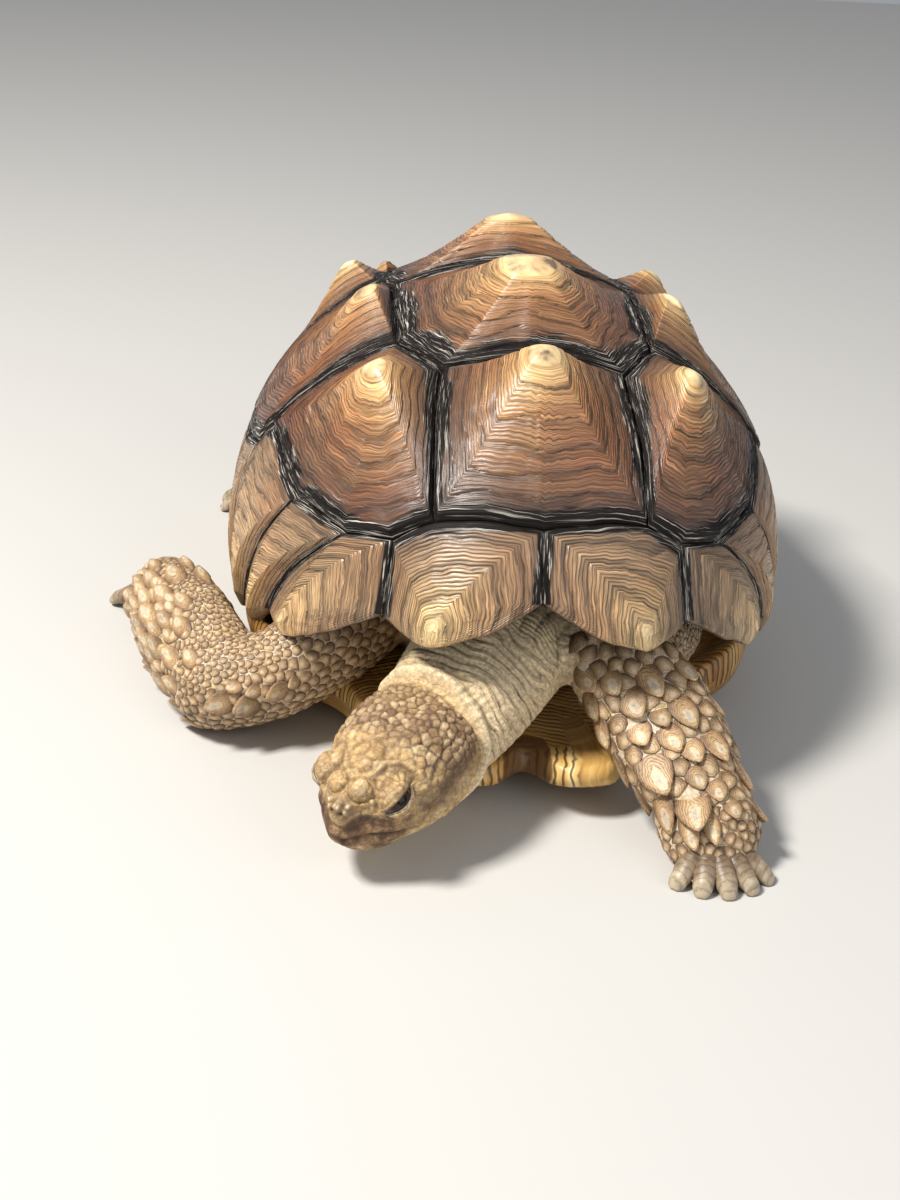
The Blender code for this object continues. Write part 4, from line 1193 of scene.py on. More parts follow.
# Painted shade: dark lines in the creases of the neck, broken up here and there.
broken = np.clip(0.62 + 0.55 * ripples(points, 0.017, 15), 0.15, 1)
lines = 0.85 * ease(0.55, 0.1, crease) + 0.5 * ease(0.5, 0.0, small)
groove = np.maximum(groove, neck * lines * broken)
# The third channel marks pale skin: the collar and the nostril knobs in their own colour, and the neck,
# painted paler as painted light, as if sunlit where the shell shades it.
kind[:, 2] = np.maximum(bell(collar_distance(local) / 4.5) * (headness > 0), 0.85 * neck)
kind[on_head, 2] = np.maximum(kind[on_head, 2], 1.2 * knobs)
print("points in the creases of the neck:", int((neck > 0).sum()))

# %% Legs and tail sit deeper, under their scales
LEG_DEPTH = 1.6 * MM
SKIN_LOWEST = 0.4 * MM  # above the floor
forelegs = (points[:, 1] < -0.1) & (headness <= 0) & (neck <= 0)
coat = (forelegs | (points[:, 1] > 0.1)).astype(float)
wave = points @ np.array([0.3, 0.9, 0.5]) / MM * pi / 9
folds = np.abs(np.sin(wave + 2 * ripples(points, 0.05, 21)))
points -= normals_of(skin, points) * (coat * (LEG_DEPTH - 0.5 * MM * folds))[:, None]
points[:, 2] = np.maximum(points[:, 2], SKIN_LOWEST)
look = np.stack([groove, tone, np.clip(np.maximum(headness, neck), 0, 1)], 1)


# %% Skin material
def skin_material():
    material, tree, shader = new_material("tortoise_skin", roughness=0.62)
    place = object_place(tree)
    groove, tone, head = three_values(tree, "look")
    beak, crown, collar = three_values(tree, "kind")
    broad = noise(tree, place, 22.0, detail=4.0)
    grain = noise(tree, place, 420.0, detail=3.0)
    cell = tree.nodes.new("ShaderNodeTexVoronoi")
    cell.feature = "DISTANCE_TO_EDGE"
    cell.inputs["Scale"].default_value = 300.0
    link(tree, place, cell.inputs["Vector"])
    pebble = ramp(tree, cell.outputs["Distance"], [(0.0, 0.0), (0.16, 1.0)])
    tan = ramp(tree, broad, [(0.3, (0.4, 0.25, 0.11)), (0.45, (0.56, 0.385, 0.18)),
                             (0.6, (0.69, 0.505, 0.26)), (0.75, (0.79, 0.63, 0.37))])
    blotch = noise(tree, place, 95.0, detail=4.0, roughness=0.6)
    golden = ramp(tree, blotch, [(0.38, (0.24, 0.125, 0.055)), (0.48, (0.46, 0.265, 0.105)),
                                 (0.58, (0.66, 0.43, 0.18)), (0.72, (0.82, 0.6, 0.32))])
    plates = ramp(tree, tone, [(0.0, (0.74, 0.54, 0.27)), (0.45, (0.54, 0.35, 0.155)),
                               (0.75, (0.8, 0.63, 0.36)), (1.0, (0.42, 0.255, 0.11))])
    face = mix(tree, 0.5, golden, plates)
    brown = ramp(tree, maths(tree, "MULTIPLY_ADD", blotch, 0.6, times(tree, tone, 0.4)),
                 [(0.36, (0.18, 0.1, 0.052)), (0.5, (0.32, 0.2, 0.105)),
                  (0.66, (0.57, 0.405, 0.23))])
    face = mix(tree, times(tree, crown, ramp(tree, broad, [(0.32, 0.5), (0.52, 0.9)])),
               face, brown)
    base = mix(tree, ramp(tree, tone, [(0.0, 0.0), (0.02, 1.0)]), tan, face)
    # Pale mix: the real colour of the collar and the nostril knobs, and painted light on the neck,
    # which looks sunlit though the shell shades it.
    base = mix(tree, times(tree, collar, 0.75), base, (0.86, 0.7, 0.46))
    bill = ramp(tree, blotch, [(0.4, (0.06, 0.03, 0.016)), (0.5, (0.19, 0.1, 0.045)),
                               (0.62, (0.42, 0.26, 0.12)), (0.76, (0.68, 0.5, 0.28))])
    base = mix(tree, beak, base, bill)
    fleck = ramp(tree, grain, [(0.3, 0.66), (0.55, 1.04), (0.75, 1.22)])
    base = tinted(tree, base, fleck)
    # Painted shade in the crevices between the small scales: darker at their borders, more on the legs
    # than on the head and the neck.
    small = tinted(tree, base, pebble, maths(tree, "MULTIPLY_ADD", head, -0.35, 0.55))
    # One noise sets the real dust patches on the legs and how strongly the painted crease shade shows.
    dust_and_shade_noise = noise(tree, place, 75.0, detail=4.0)
    dusty = ramp(tree, dust_and_shade_noise, [(0.38, 0.0), (0.58, 0.75)])
    small = mix(tree, times(tree, dusty, maths(tree, "SUBTRACT", 1.0, head)), small,
                (0.66, 0.58, 0.46))
    # Painted shade: the groove channel pulls the colour towards near-black brown in creases, scale
    # borders, folds and nostrils, unevenly; the same channel lays the beak's own dark patch and the
    # brown band behind the eye.
    deep = times(tree, groove, ramp(tree, dust_and_shade_noise, [(0.3, 0.6), (0.55, 1.0)]))
    colour = mix(tree, deep, small, (0.08, 0.04, 0.02))
    link(tree, colour, shader.inputs["Base Color"])
    first = bump(tree, shader, pebble, 0.3, 0.0005)
    bump(tree, shader, grain, 0.5, 0.0004, under=first)
    return material


SKIN = skin_material()
normals_of(skin, points)
store(skin, "look", look)
store(skin, "kind", kind)
skin.shade_smooth()
halved = bmesh.new()
halved.from_mesh(skin)
bmesh.ops.triangulate(halved, faces=halved.faces[:])
halved.to_mesh(skin)
halved.free()
show("skin", skin, SKIN, FLESH)
print("skin triangles:", len(skin.polygons))

# %% [markdown]
# ## Eyes and lids
#
# Each eye is a ball whose front shows between two lids.  The iris is so dark that only its gloss
# tells it from the pupil.  The lids are closed rolls laid on the ball along the edges of the
# opening, so that the opening has a clean, thick rim.

# %% Eyeballs
def eye_world(side, spots):
    """From one eye's millimetres on the left side of the head to the scene."""
    return HEAD_PLACE + (spots * (side, 1, 1)) * MM @ HEAD_TURN.T


def eye_ball(side):
    rows, columns = 26, 40
    ring = np.linspace(0.03, pi - 0.03, rows)
    turn = np.arange(columns) * 2 * pi / columns
    out = np.cos(ring)[:, None, None] * EYE_OUT
    across = np.cos(turn)[:, None] * EYE_LONG + np.sin(turn)[:, None] * EYE_TALL
    swell = 1 + 0.04 * bell(ring / 0.55)
    rays = (out + np.sin(ring)[:, None, None] * across) * swell[:, None, None]
    rays = np.concatenate([rays.reshape(-1, 3), [EYE_OUT * 1.04, -EYE_OUT]])
    mesh = mesh_from_arrays(f"eye_{side}", eye_world(side, EYE_SPOT + rays * EYE_BALL),
                            *closed_tube(rows, columns))
    store(mesh, "from_pupil", np.concatenate([np.repeat(ring, columns), [0, pi]]))
    return mesh


def eye_material():
    material, tree, shader = new_material("eye_gloss", roughness=0.1)
    fleck = noise(tree, object_place(tree), 900.0, detail=3.0)
    uneven = swayed(tree, fleck, 0.1, attribute(tree, "from_pupil"))
    colour = ramp(tree, uneven, [(0.3, (0.004, 0.003, 0.003)), (0.34, (0.05, 0.026, 0.014)),
                                 (0.62, (0.022, 0.012, 0.008)), (0.74, (0.035, 0.028, 0.024)),
                                 (0.92, (0.09, 0.075, 0.06))])
    link(tree, colour, shader.inputs["Base Color"])
    shader.inputs["Specular IOR Level"].default_value = 0.3
    return material


EYE_GLOSS = eye_material()
for side, label in ((1, "left"), (-1, "right")):
    show(f"eyeball_{label}", eye_ball(side), EYE_GLOSS, [f"eye_{label}"])
print("eyes of radius", EYE_BALL, "mm")

# %% Lids
UPPER_ROLL = ((0.0, 0.05), (0.0, 0.9), (0.07, 1.55), (0.18, 1.9), (0.34, 1.6), (0.34, 0.3),
              (0.12, -0.1))  # offset from the edge and height over the ball
LOWER_ROLL = ((0.0, 0.05), (0.0, 0.65), (-0.06, 1.05), (-0.15, 1.25), (-0.28, 1.2),
              (-0.3, 0.3), (-0.12, -0.1))


def lid(side, roll, edge):
    along = np.linspace(-1.02, 1.02, 34) * EYE_HALF_LENGTH
    bow = np.maximum(1 - (along / EYE_HALF_LENGTH) ** 2, 0.0)
    height = lid_edges(np.clip(along, -EYE_HALF_LENGTH, EYE_HALF_LENGTH))[edge]
    taper = 0.35 + 0.65 * bow ** 0.5
    rows = []
    for offset, above in roll:
        up = height + offset * taper
        wide = along * (1 + 0.1 * abs(offset) / 0.3)
        out = np.sqrt(np.maximum(1 - wide ** 2 - up ** 2, 0.02))
        ray = unit(out[:, None] * EYE_OUT + wide[:, None] * EYE_LONG + up[:, None] * EYE_TALL)
        far = EYE_BALL + above * (0.55 + 0.45 * bow ** 0.4)
        rows.append(EYE_SPOT + ray * far[:, None])
    grid = np.stack(rows, 1)
    spots = np.concatenate([grid.reshape(-1, 3), [grid[0].mean(0), grid[-1].mean(0)]])
    mesh = mesh_from_arrays("lid", eye_world(side, spots), *closed_tube(*grid.shape[:2]))
    # The first channel is painted shade along the edge that meets the eyeball; only the upper lid's
    # skin material reads it.
    rim = np.tile([0.85 * ease(0.16, 0.04, abs(offset)) for offset, _ in roll], len(grid))
    rim = np.concatenate([rim, [0.0, 0.0]])
    store(mesh, "look", np.stack([rim, np.full(len(rim), 0.2), np.ones(len(rim))], 1))
    store(mesh, "kind", np.zeros((len(spots), 3)))
    return mesh


def lid_material():
    material, tree, shader = new_material("grey_lid_skin", roughness=0.5)
    place = object_place(tree)
    tone = noise(tree, place, 260.0, detail=4.0)
    colour = ramp(tree, tone, [(0.35, (0.09, 0.07, 0.05)), (0.5, (0.2, 0.155, 0.11)),
                               (0.65, (0.4, 0.33, 0.24))])
    link(tree, colour, shader.inputs["Base Color"])
    bump(tree, shader, tone, 0.4, 0.0003)
    return material


GREY_LID = lid_material()
for side, label in ((1, "left"), (-1, "right")):
    show(f"upper_lid_{label}", lid(side, UPPER_ROLL, 0), SKIN)
    show(f"lower_lid_{label}", lid(side, LOWER_ROLL, 1), GREY_LID)
print("lids: 4 closed rolls")


# %% [markdown]
# ## Scales of the legs
#
# A tortoise's forelegs wear big, overlapping, spade-shaped scales on the side that it digs and
# hides with, knobs at the elbow, and a pavement of small tiles everywhere else.  The spade is
# modelled once, then Geometry Nodes sets a copy on every root, turned along the leg and sized for
# its place, and makes the copies real.  The tiles fit their neighbours, so no two are alike, and
# they come later.  Every scale carries a tiny patch of a map laid round its leg, so that its
# colours can be baked.

# %% The model scale
SPADE_AROUND = 16
SPADE_RINGS = (  # share of the outline, and height
    (0.8, -0.2), (1.0, 0.08), (0.97, 0.18), (0.8, 0.23), (0.45, 0.25))
SPADE_POINT = 0.55  # how far the tip is drawn out
TIP_RISE = 0.34


def model_scale():
    """A closed scale, drawn out to a tip that rises ahead."""
    turn = np.arange(SPADE_AROUND) * 2 * pi / SPADE_AROUND
    ahead = np.cos(turn)
    across = np.sin(turn) * (1 - SPADE_POINT * np.clip(ahead, 0, 1) ** 1.6)
    rows = []
    for share, height in SPADE_RINGS:
        lift = TIP_RISE * SPADE_POINT * (ahead * share) * (height > 0)
        rows.append(np.stack([0.5 * across * share, 0.5 * ahead * share, height + lift], 1))
    ends = [(0, 0, SPADE_RINGS[0][1]), (0, 0, SPADE_RINGS[-1][1] + 0.01)]
    spots = np.concatenate([*rows, ends])
    mesh = mesh_from_arrays("spade", spots, *closed_tube(len(rows), SPADE_AROUND))
    store(mesh, "spot", spots)
    return bpy.data.objects.new("spade_scale", mesh)


SPADE = model_scale()
print("faces of the model scale:", len(SPADE.data.polygons))


# %% The tree that sets scales on their roots
PATCH = 0.003  # side of a scale's own patch of the map
SCALE_LOWEST = 0.3 * MM  # above the floor


def scatter_tree():
    tree = bpy.data.node_groups.new("scales_on_roots", "GeometryNodeTree")
    face = tree.interface
    face.new_socket("Roots", in_out="INPUT", socket_type="NodeSocketGeometry")
    names = {}
    for label, kind in (("Model scale", "NodeSocketObject"), ("Finish", "NodeSocketMaterial"),
                        ("Uneven share", "NodeSocketFloat"), ("Seed", "NodeSocketInt"),
                        ("Patch", "NodeSocketFloat")):
        names[label] = face.new_socket(label, in_out="INPUT", socket_type=kind).identifier
    face.new_socket("Scales", in_out="OUTPUT", socket_type="NodeSocketGeometry")

    def node(kind, feeds, **settings):
        """A node with its settings, its inputs fed from sockets or set to plain values."""
        made = tree.nodes.new(kind)
        for key, value in settings.items():
            setattr(made, key, value)
        for socket, source in feeds.items():
            link(tree, source, made.inputs[socket])
        return made.outputs

    def named(name):
        return node("GeometryNodeInputNamedAttribute", {"Name": name},
                    data_type="FLOAT_VECTOR")["Attribute"]

    given = node("NodeGroupInput", {})
    model = node("GeometryNodeObjectInfo", {"Object": given["Model scale"]})
    turn = node("FunctionNodeEulerToRotation", {0: named("turn")})
    low, high = (node("ShaderNodeMath", {0: 1.0, 1: given["Uneven share"]}, operation=how)[0]
                 for how in ("SUBTRACT", "ADD"))
    chance = node("FunctionNodeRandomValue", {2: low, 3: high, "Seed": given["Seed"]},
                  data_type="FLOAT")
    size = node("ShaderNodeVectorMath", {0: named("size"), "Scale": chance[1]}, operation="SCALE")
    copies = node("GeometryNodeInstanceOnPoints",
                  {"Points": given["Roots"], "Instance": model["Geometry"],
                   "Rotation": turn[0], "Scale": size[0]})
    real = node("GeometryNodeRealizeInstances", {0: copies[0]})
    patch = node("ShaderNodeVectorMath", {0: named("spot"), "Scale": given["Patch"]},
                 operation="SCALE")
    place = node("ShaderNodeVectorMath", {0: patch[0], 1: named("root")}, operation="ADD")
    keep = node("GeometryNodeStoreNamedAttribute",
                {"Name": "OFBake", "Geometry": real[0], "Value": place[0]},
                data_type="FLOAT2", domain="CORNER")
    finish = node("GeometryNodeSetMaterial", {"Geometry": keep[0], "Material": given["Finish"]})
    node("NodeGroupOutput", {0: finish[0]})
    return tree, names


SCATTER, SCATTER_INPUTS = scatter_tree()
print("inputs of the tree:", ", ".join(SCATTER_INPUTS))


# %% Growing the scales
def above_floor(mesh):
    spots = points_of(mesh)
    spots[:, 2] = np.maximum(spots[:, 2], SCALE_LOWEST)
    put_points(mesh, spots)


def grow_scales(name, model, roots, seed, material):
    """Each row of the roots holds place, along, out, length, width, height, tone, map place."""
    mesh = bpy.data.meshes.new(name)
    mesh.vertices.add(len(roots))
    put_points(mesh, roots[:, 0:3])
    turns = np.zeros((len(roots), 3))
    for index, root in enumerate(roots):
        out = Vector(root[6:9]).normalized()
        along = Vector(root[3:6])
        along = (along - out * along.dot(out)).normalized()
        across = along.cross(out)
        turns[index] = Matrix((across, along, out)).transposed().to_euler()
    store(mesh, "turn", turns)
    store(mesh, "size", roots[:, [10, 9, 11]])
    store(mesh, "tone", roots[:, 12])
    store(mesh, "root", np.stack([roots[:, 13], roots[:, 14], 0 * roots[:, 13]], 1))
    item = bpy.data.objects.new(name, mesh)
    bpy.context.scene.collection.objects.link(item)
    modifier = item.modifiers.new("scales", "NODES")
    modifier.node_group = SCATTER
    for label, value in (("Model scale", model), ("Finish", material), ("Uneven share", 0.1),
                         ("Seed", seed), ("Patch", PATCH)):
        modifier[SCATTER_INPUTS[label]] = value
    grown = baked(item)
    above_floor(grown)
    grown.shade_smooth()
    return show(name, grown, material)


# %% [markdown]
# ## Where the scales root
#
# Each leg has a path from the shoulder or hip to the foot.  The big scales stand in rows at set
# shares of that path and set angles round it.  The rest of the skin is filled with scales whose
# size depends on where they are, none closer to another than their sizes allow.

# %% Paths of the legs
LEG_PATHS = {  # corners in mm, from the trunk to the foot or the tip
    "foreleg_left": [(86, -94, 74), (88, -118, 70), (82, -146, 70), (70, -172, 78), (55, -208, 81),
                     (71, -232, 64), (85, -256, 47), (95, -274, 34), (101, -300, 14)],
    "foreleg_right": [(-74, -105, 74), (-104, -140, 64), (-130, -152, 48), (-155, -160, 38),
                      (-176, -160, 32), (-189, -134, 37), (-201, -104, 38), (-212, -70, 36),
                      (-221, -38, 31), (-230, 0, 16)],
    "hind_leg_left": [(86, 104, 58), (106, 132, 40), (130, 158, 29), (150, 174, 24), (156, 180, 4)],
    "tail": [(0, 172, 48), (8, 215, 30), (16, 258, 10)],
}
LEG_PATHS["hind_leg_right"] = [(-x, y, z) for x, y, z in LEG_PATHS["hind_leg_left"]]
LEG_FACES = {"foreleg_left": (-0.15, -0.45, 0.88), "foreleg_right": (-0.75, -0.35, 0.55),
             "hind_leg_left": (0.6, 0.7, 0.3), "hind_leg_right": (-0.6, 0.7, 0.3),
             "tail": (0.0, 0.3, 0.95)}


def leg_path(name):
    """Corners of a leg's path, and the lengths between them."""
    path = np.array(LEG_PATHS[name]) / 1000
    return path, norm(np.diff(path, axis=0), axis=1)


def leg_sides(name, along):
    """Two directions across the leg: out of its face, and to the side."""
    face = np.array(LEG_FACES[name])
    out = unit(face - along * (along @ face)[..., None])
    return out, np.cross(along, out)


def path_frame(name, spots):
    """Share of the path, direction of the leg, angle round it from its face, and distance."""
    path, lengths = leg_path(name)
    run, best, centre, along = nearest_on(spots, path)
    out, side = leg_sides(name, along)
    ray = spots - centre
    angle = np.degrees(np.arctan2((ray * side).sum(1), (ray * out).sum(1)))
    return run / lengths.sum(), along, angle, best


# %% Finding the skin
skin_tree = BVHTree.FromPolygons([tuple(p) for p in points],
                                 [tuple(p.vertices) for p in skin.polygons])


def root_at(name, share, angle):
    """Place and normal on the skin at a share of a leg's path and an angle round it."""
    path, lengths = leg_path(name)
    goal = share * lengths.sum()
    number = min(int(np.searchsorted(np.cumsum(lengths), goal)), len(lengths) - 1)
    step = path[number + 1] - path[number]
    t = (goal - lengths[:number].sum()) / lengths[number]
    centre = path[number] + step * t
    along = step / lengths[number]
    out, side = leg_sides(name, along)
    ray = out * cos(radians(angle)) + side * sin(radians(angle))
    place, normal = skin_tree.ray_cast(Vector(centre), Vector(ray))[:2]
    return np.array(place), np.array(normal), along


print("legs and tail:", ", ".join(LEG_PATHS))

# %% Big scales in rows
BIG_SCALES = {  # share of the path, angle, length, width and height in mm
    "foreleg_left": [
        (0.588, -3, 20, 15, 4.4), (0.688, -26, 21, 15, 4.6), (0.783, -47, 21, 15, 4.6),
        (0.86, -76, 19, 14, 4.6), (0.925, -86, 15, 12, 4.6), (0.47, 8, 12, 11, 4.0),
        (0.496, 34, 13, 12, 4.4), (0.549, 44, 13, 12, 4.2), (0.505, 66, 15, 12, 4.2),
        (0.56, 78, 15, 11, 4.2), (0.616, 36, 17, 15, 4.2), (0.619, 85, 20, 14, 5.0),
        (0.68, 12, 13, 12, 3.6), (0.688, 48, 16, 15, 4.2), (0.735, 14, 14, 13, 3.6),
        (0.72, 92, 19, 12, 5.0), (0.778, 56, 25, 19, 5.4), (0.78, -8, 14, 13, 3.6),
        (0.8, 100, 18, 11, 4.6), (0.84, 8, 13, 12, 3.4), (0.89, 68, 22, 13, 5.0),
        (0.905, 28, 25, 18, 5.6), (0.955, 46, 19, 11, 5.0), (0.88, -22, 12, 11, 3.6),
        (0.96, 5, 16, 9, 4.6), (0.6, -60, 15, 12, 4.2), (0.69, -80, 16, 12, 4.2),
        (0.77, -104, 16, 11, 4.2), (0.93, -40, 11, 10, 3.6),
    ],
    "foreleg_right": [
        (0.426, -57, 15, 13, 7.0), (0.376, -68, 16, 14, 8.0), (0.335, -74, 14, 12, 7.0),
        (0.3, -73, 9, 9, 4.5), (0.357, -50, 9, 8, 4.0), (0.392, -39, 9, 9, 4.0),
        (0.432, -86, 15, 11, 6.0), (0.47, -76, 15, 12, 6.0), (0.48, -42, 15, 12, 5.0),
        (0.463, 10, 14, 11, 4.4), (0.516, -16, 18, 13, 5.0), (0.53, -62, 18, 12, 6.0),
        (0.544, 24, 16, 12, 4.6), (0.585, -32, 22, 14, 6.0), (0.6, -70, 18, 12, 6.0),
        (0.605, 8, 18, 12, 5.0), (0.613, 44, 15, 10, 4.6), (0.655, -48, 20, 13, 6.0),
        (0.672, -12, 21, 14, 5.6), (0.68, 26, 17, 12, 5.0), (0.723, 54, 18, 12, 5.0),
        (0.696, 82, 16, 10, 4.6), (0.725, -42, 19, 12, 6.0), (0.745, -4, 19, 13, 5.4),
        (0.785, 24, 18, 12, 5.0), (0.797, -28, 17, 11, 5.4), (0.85, 0, 15, 10, 4.6),
        (0.855, 40, 14, 9, 4.6), (0.87, -45, 14, 9, 4.6), (0.79, 78, 14, 9, 4.4),
        (0.68, -84, 17, 11, 5.4), (0.76, -80, 16, 11, 5.0),
    ],
    "hind_leg_left": [(0.42, 0, 13, 12, 9), (0.55, 24, 14, 12, 10), (0.56, -18, 13, 12, 9),
                      (0.7, 8, 12, 11, 8), (0.8, 35, 10, 9, 5), (0.8, -20, 10, 9, 5)],
    "tail": [(0.35, -25, 8, 7, 3), (0.35, 25, 8, 7, 3), (0.55, 0, 9, 7, 3), (0.75, 0, 9, 6, 3)],
}
BIG_SCALES["hind_leg_right"] = [(s, -a, l, w, h) for s, a, l, w, h in BIG_SCALES["hind_leg_left"]]
print("big scales:", {name: len(rows) for name, rows in BIG_SCALES.items()})

# %% Sizes of the scales
TIP_LIFT = 0.16
BIG_GROWN = (1.38, 1.18, 1.5)  # on the listed length, width and height
DIGGING_GROWN = (1.62, 1.18, 1.5)
SMALL_SPADE = np.array([4.2, 2.6, 1.4])  # length, width and height in radii
LARGEST_TILE = 3.2  # radius in mm; a larger filler is a small spade


def map_place(tile, share, angle):
    """Where the scale's patch lies on the map: a strip for each leg, unrolled round it."""
    return 0.1 + 0.18 * tile + 0.1 * share, angle / 720 + 0.5


def filler_radius(name, share, angle):
    """Radius in mm of the scales between the big ones."""
    front = np.cos(np.radians(angle))
    if name == "foreleg_left":
        size = np.where(share < 0.38, 2.2, np.where(front > -0.1, 4.5, 2.8))
        return np.where(share > 0.93, 2.9, size)
    if name == "foreleg_right":
        size = 2.1 + 3.2 * ease(60, 0, angle) * ease(0.5, 0.62, share)
        size = np.where((share < 0.5) & (angle < -40), 3.0, size)
        return np.where(share > 0.92, 2.6, size)
    if name == "tail":
        return np.full(len(share), 2.3)
    return 2.5 + 1.2 * ease(0.3, 0.6, share) * (front > 0)


def skin_samples(count, seed):
    """Even random places on the skin, with normals."""
    chance = np.random.default_rng(seed)
    a, b, c = (points[corner] for corner in numbers_of(skin.polygons, "vertices", 3).T)
    cross = np.cross(b - a, c - a)
    area = norm(cross, axis=1)
    chosen = chance.choice(len(area), count, p=area / area.sum())
    u, v = chance.uniform(0, 1, (2, count))
    u, v = np.where(u + v > 1, 1 - u, u), np.where(u + v > 1, 1 - v, v)
    place = a[chosen] + u[:, None] * (b - a)[chosen] + v[:, None] * (c - a)[chosen]
    return place, unit(cross[chosen])


# %% A root for every scale
places, outs = skin_samples(120000, 3)
in_shell = in_plan(places) < 0.86
in_shell |= places[:, 2] + outs[:, 2] * 1.5 * MM < 1.5 * MM
clear = ~in_shell & ~near_head(places)
places, outs = places[clear], outs[clear]
spade_roots, tile_roots = [], {}
tones = np.random.default_rng(17)
for tile, name in enumerate(LEG_PATHS):
    shares, alongs, angles, away = path_frame(name, places)
    mine = (away < 0.05) & (np.abs(places[:, 0]) > (0.03 if name != "tail" else -1))
    mine &= np.all([away <= path_frame(other, places)[3] + 1e-9 for other in LEG_PATHS], axis=0)
    if name.startswith("foreleg"):
        mine &= along_path(places, NECK_PATH)[1] > 0.052
    first = []
    for share, angle, length, width, height in BIG_SCALES[name]:
        place, normal, along = root_at(name, share, angle)
        lifted = unit(normal - along * TIP_LIFT)
        first.append((place / MM, 0.4 * (length + width) / 2))
        grown = DIGGING_GROWN if name == "foreleg_right" and share > 0.5 else BIG_GROWN
        spade_roots.append((*(place + along * length * MM * 0.1), *along, *lifted,
                            *np.multiply((length, width, height), grown) * MM,
                            tones.uniform(), *map_place(tile, share, angle)))
    sizes = filler_radius(name, shares[mine], angles[mine])
    picked = scattered(places[mine] / MM, sizes, first, 30 + tile, 0.88)
    index = {tuple(np.round(p / MM, 4)): i for i, p in zip(np.flatnonzero(mine), places[mine])}
    rows = []
    for x, y, z, size in picked[len(first):]:
        i = index[tuple(np.round((x, y, z), 4))]
        map_spot = map_place(tile, shares[i], angles[i])
        if name == "foreleg_right" and size > LARGEST_TILE:
            lifted = unit(outs[i] - alongs[i] * TIP_LIFT)
            spade_roots.append((*places[i], *alongs[i], *lifted, *SMALL_SPADE * size * MM,
                                tones.uniform(), *map_spot))
        else:
            rows.append((*places[i], *alongs[i], *outs[i], size * MM, tones.uniform(), *map_spot))
    tile_roots[name] = np.array(rows), picked[:len(first)] * MM
spade_roots = np.array(spade_roots)
print("spades:", len(spade_roots), "tiles:", {n: len(r) for n, (r, _) in tile_roots.items()})

# %% [markdown]
# Between the big scales the skin is paved: every tile reaches as far as its neighbours let it, so
# the tiles are polygons with narrow creases between them.  The reach in each direction is where
# the line half-way to the nearest neighbour is crossed, softened to round the corners.

# %% Paving between the big scales
TILE_AROUND = 10
TILE_RINGS = ((0.88, -0.3), (1.0, 0.03), (0.985, 0.13), (0.9, 0.2), (0.5, 0.25))
TILE_ENDS = (-0.3, 0.29)  # heights of its underside and its top
CREASE = 0.14 * MM
CORNER = 14  # higher means sharper corners
FARTHEST = 2.4  # reach in radii where no neighbour stands
SPADE_SHARE = 0.7  # a big scale leaves room for tiles under its tip


def tile_reach(places, sizes, across, along, neighbours, neighbour_sizes):
    turn = np.arange(TILE_AROUND) * 2 * pi / TILE_AROUND
    reach = np.empty((len(places), TILE_AROUND))
    for i, (place, size) in enumerate(zip(places, sizes)):
        ray = neighbours - place
        apart = norm(ray, axis=1)
        near = (apart > 1e-6) & (apart < 3.2 * (size + neighbour_sizes))
        ray, apart = ray[near], apart[near]
        half = apart * size / (size + neighbour_sizes[near])
        bearing = np.arctan2(ray @ across[i], ray @ along[i])
        lean = np.clip(np.cos(turn[:, None] - bearing[None, :]), 0, 1)
        total = ((lean / half) ** CORNER).sum(1) + (1 / (FARTHEST * size)) ** CORNER
        reach[i] = total ** (-1 / CORNER)
    return reach - CREASE, turn


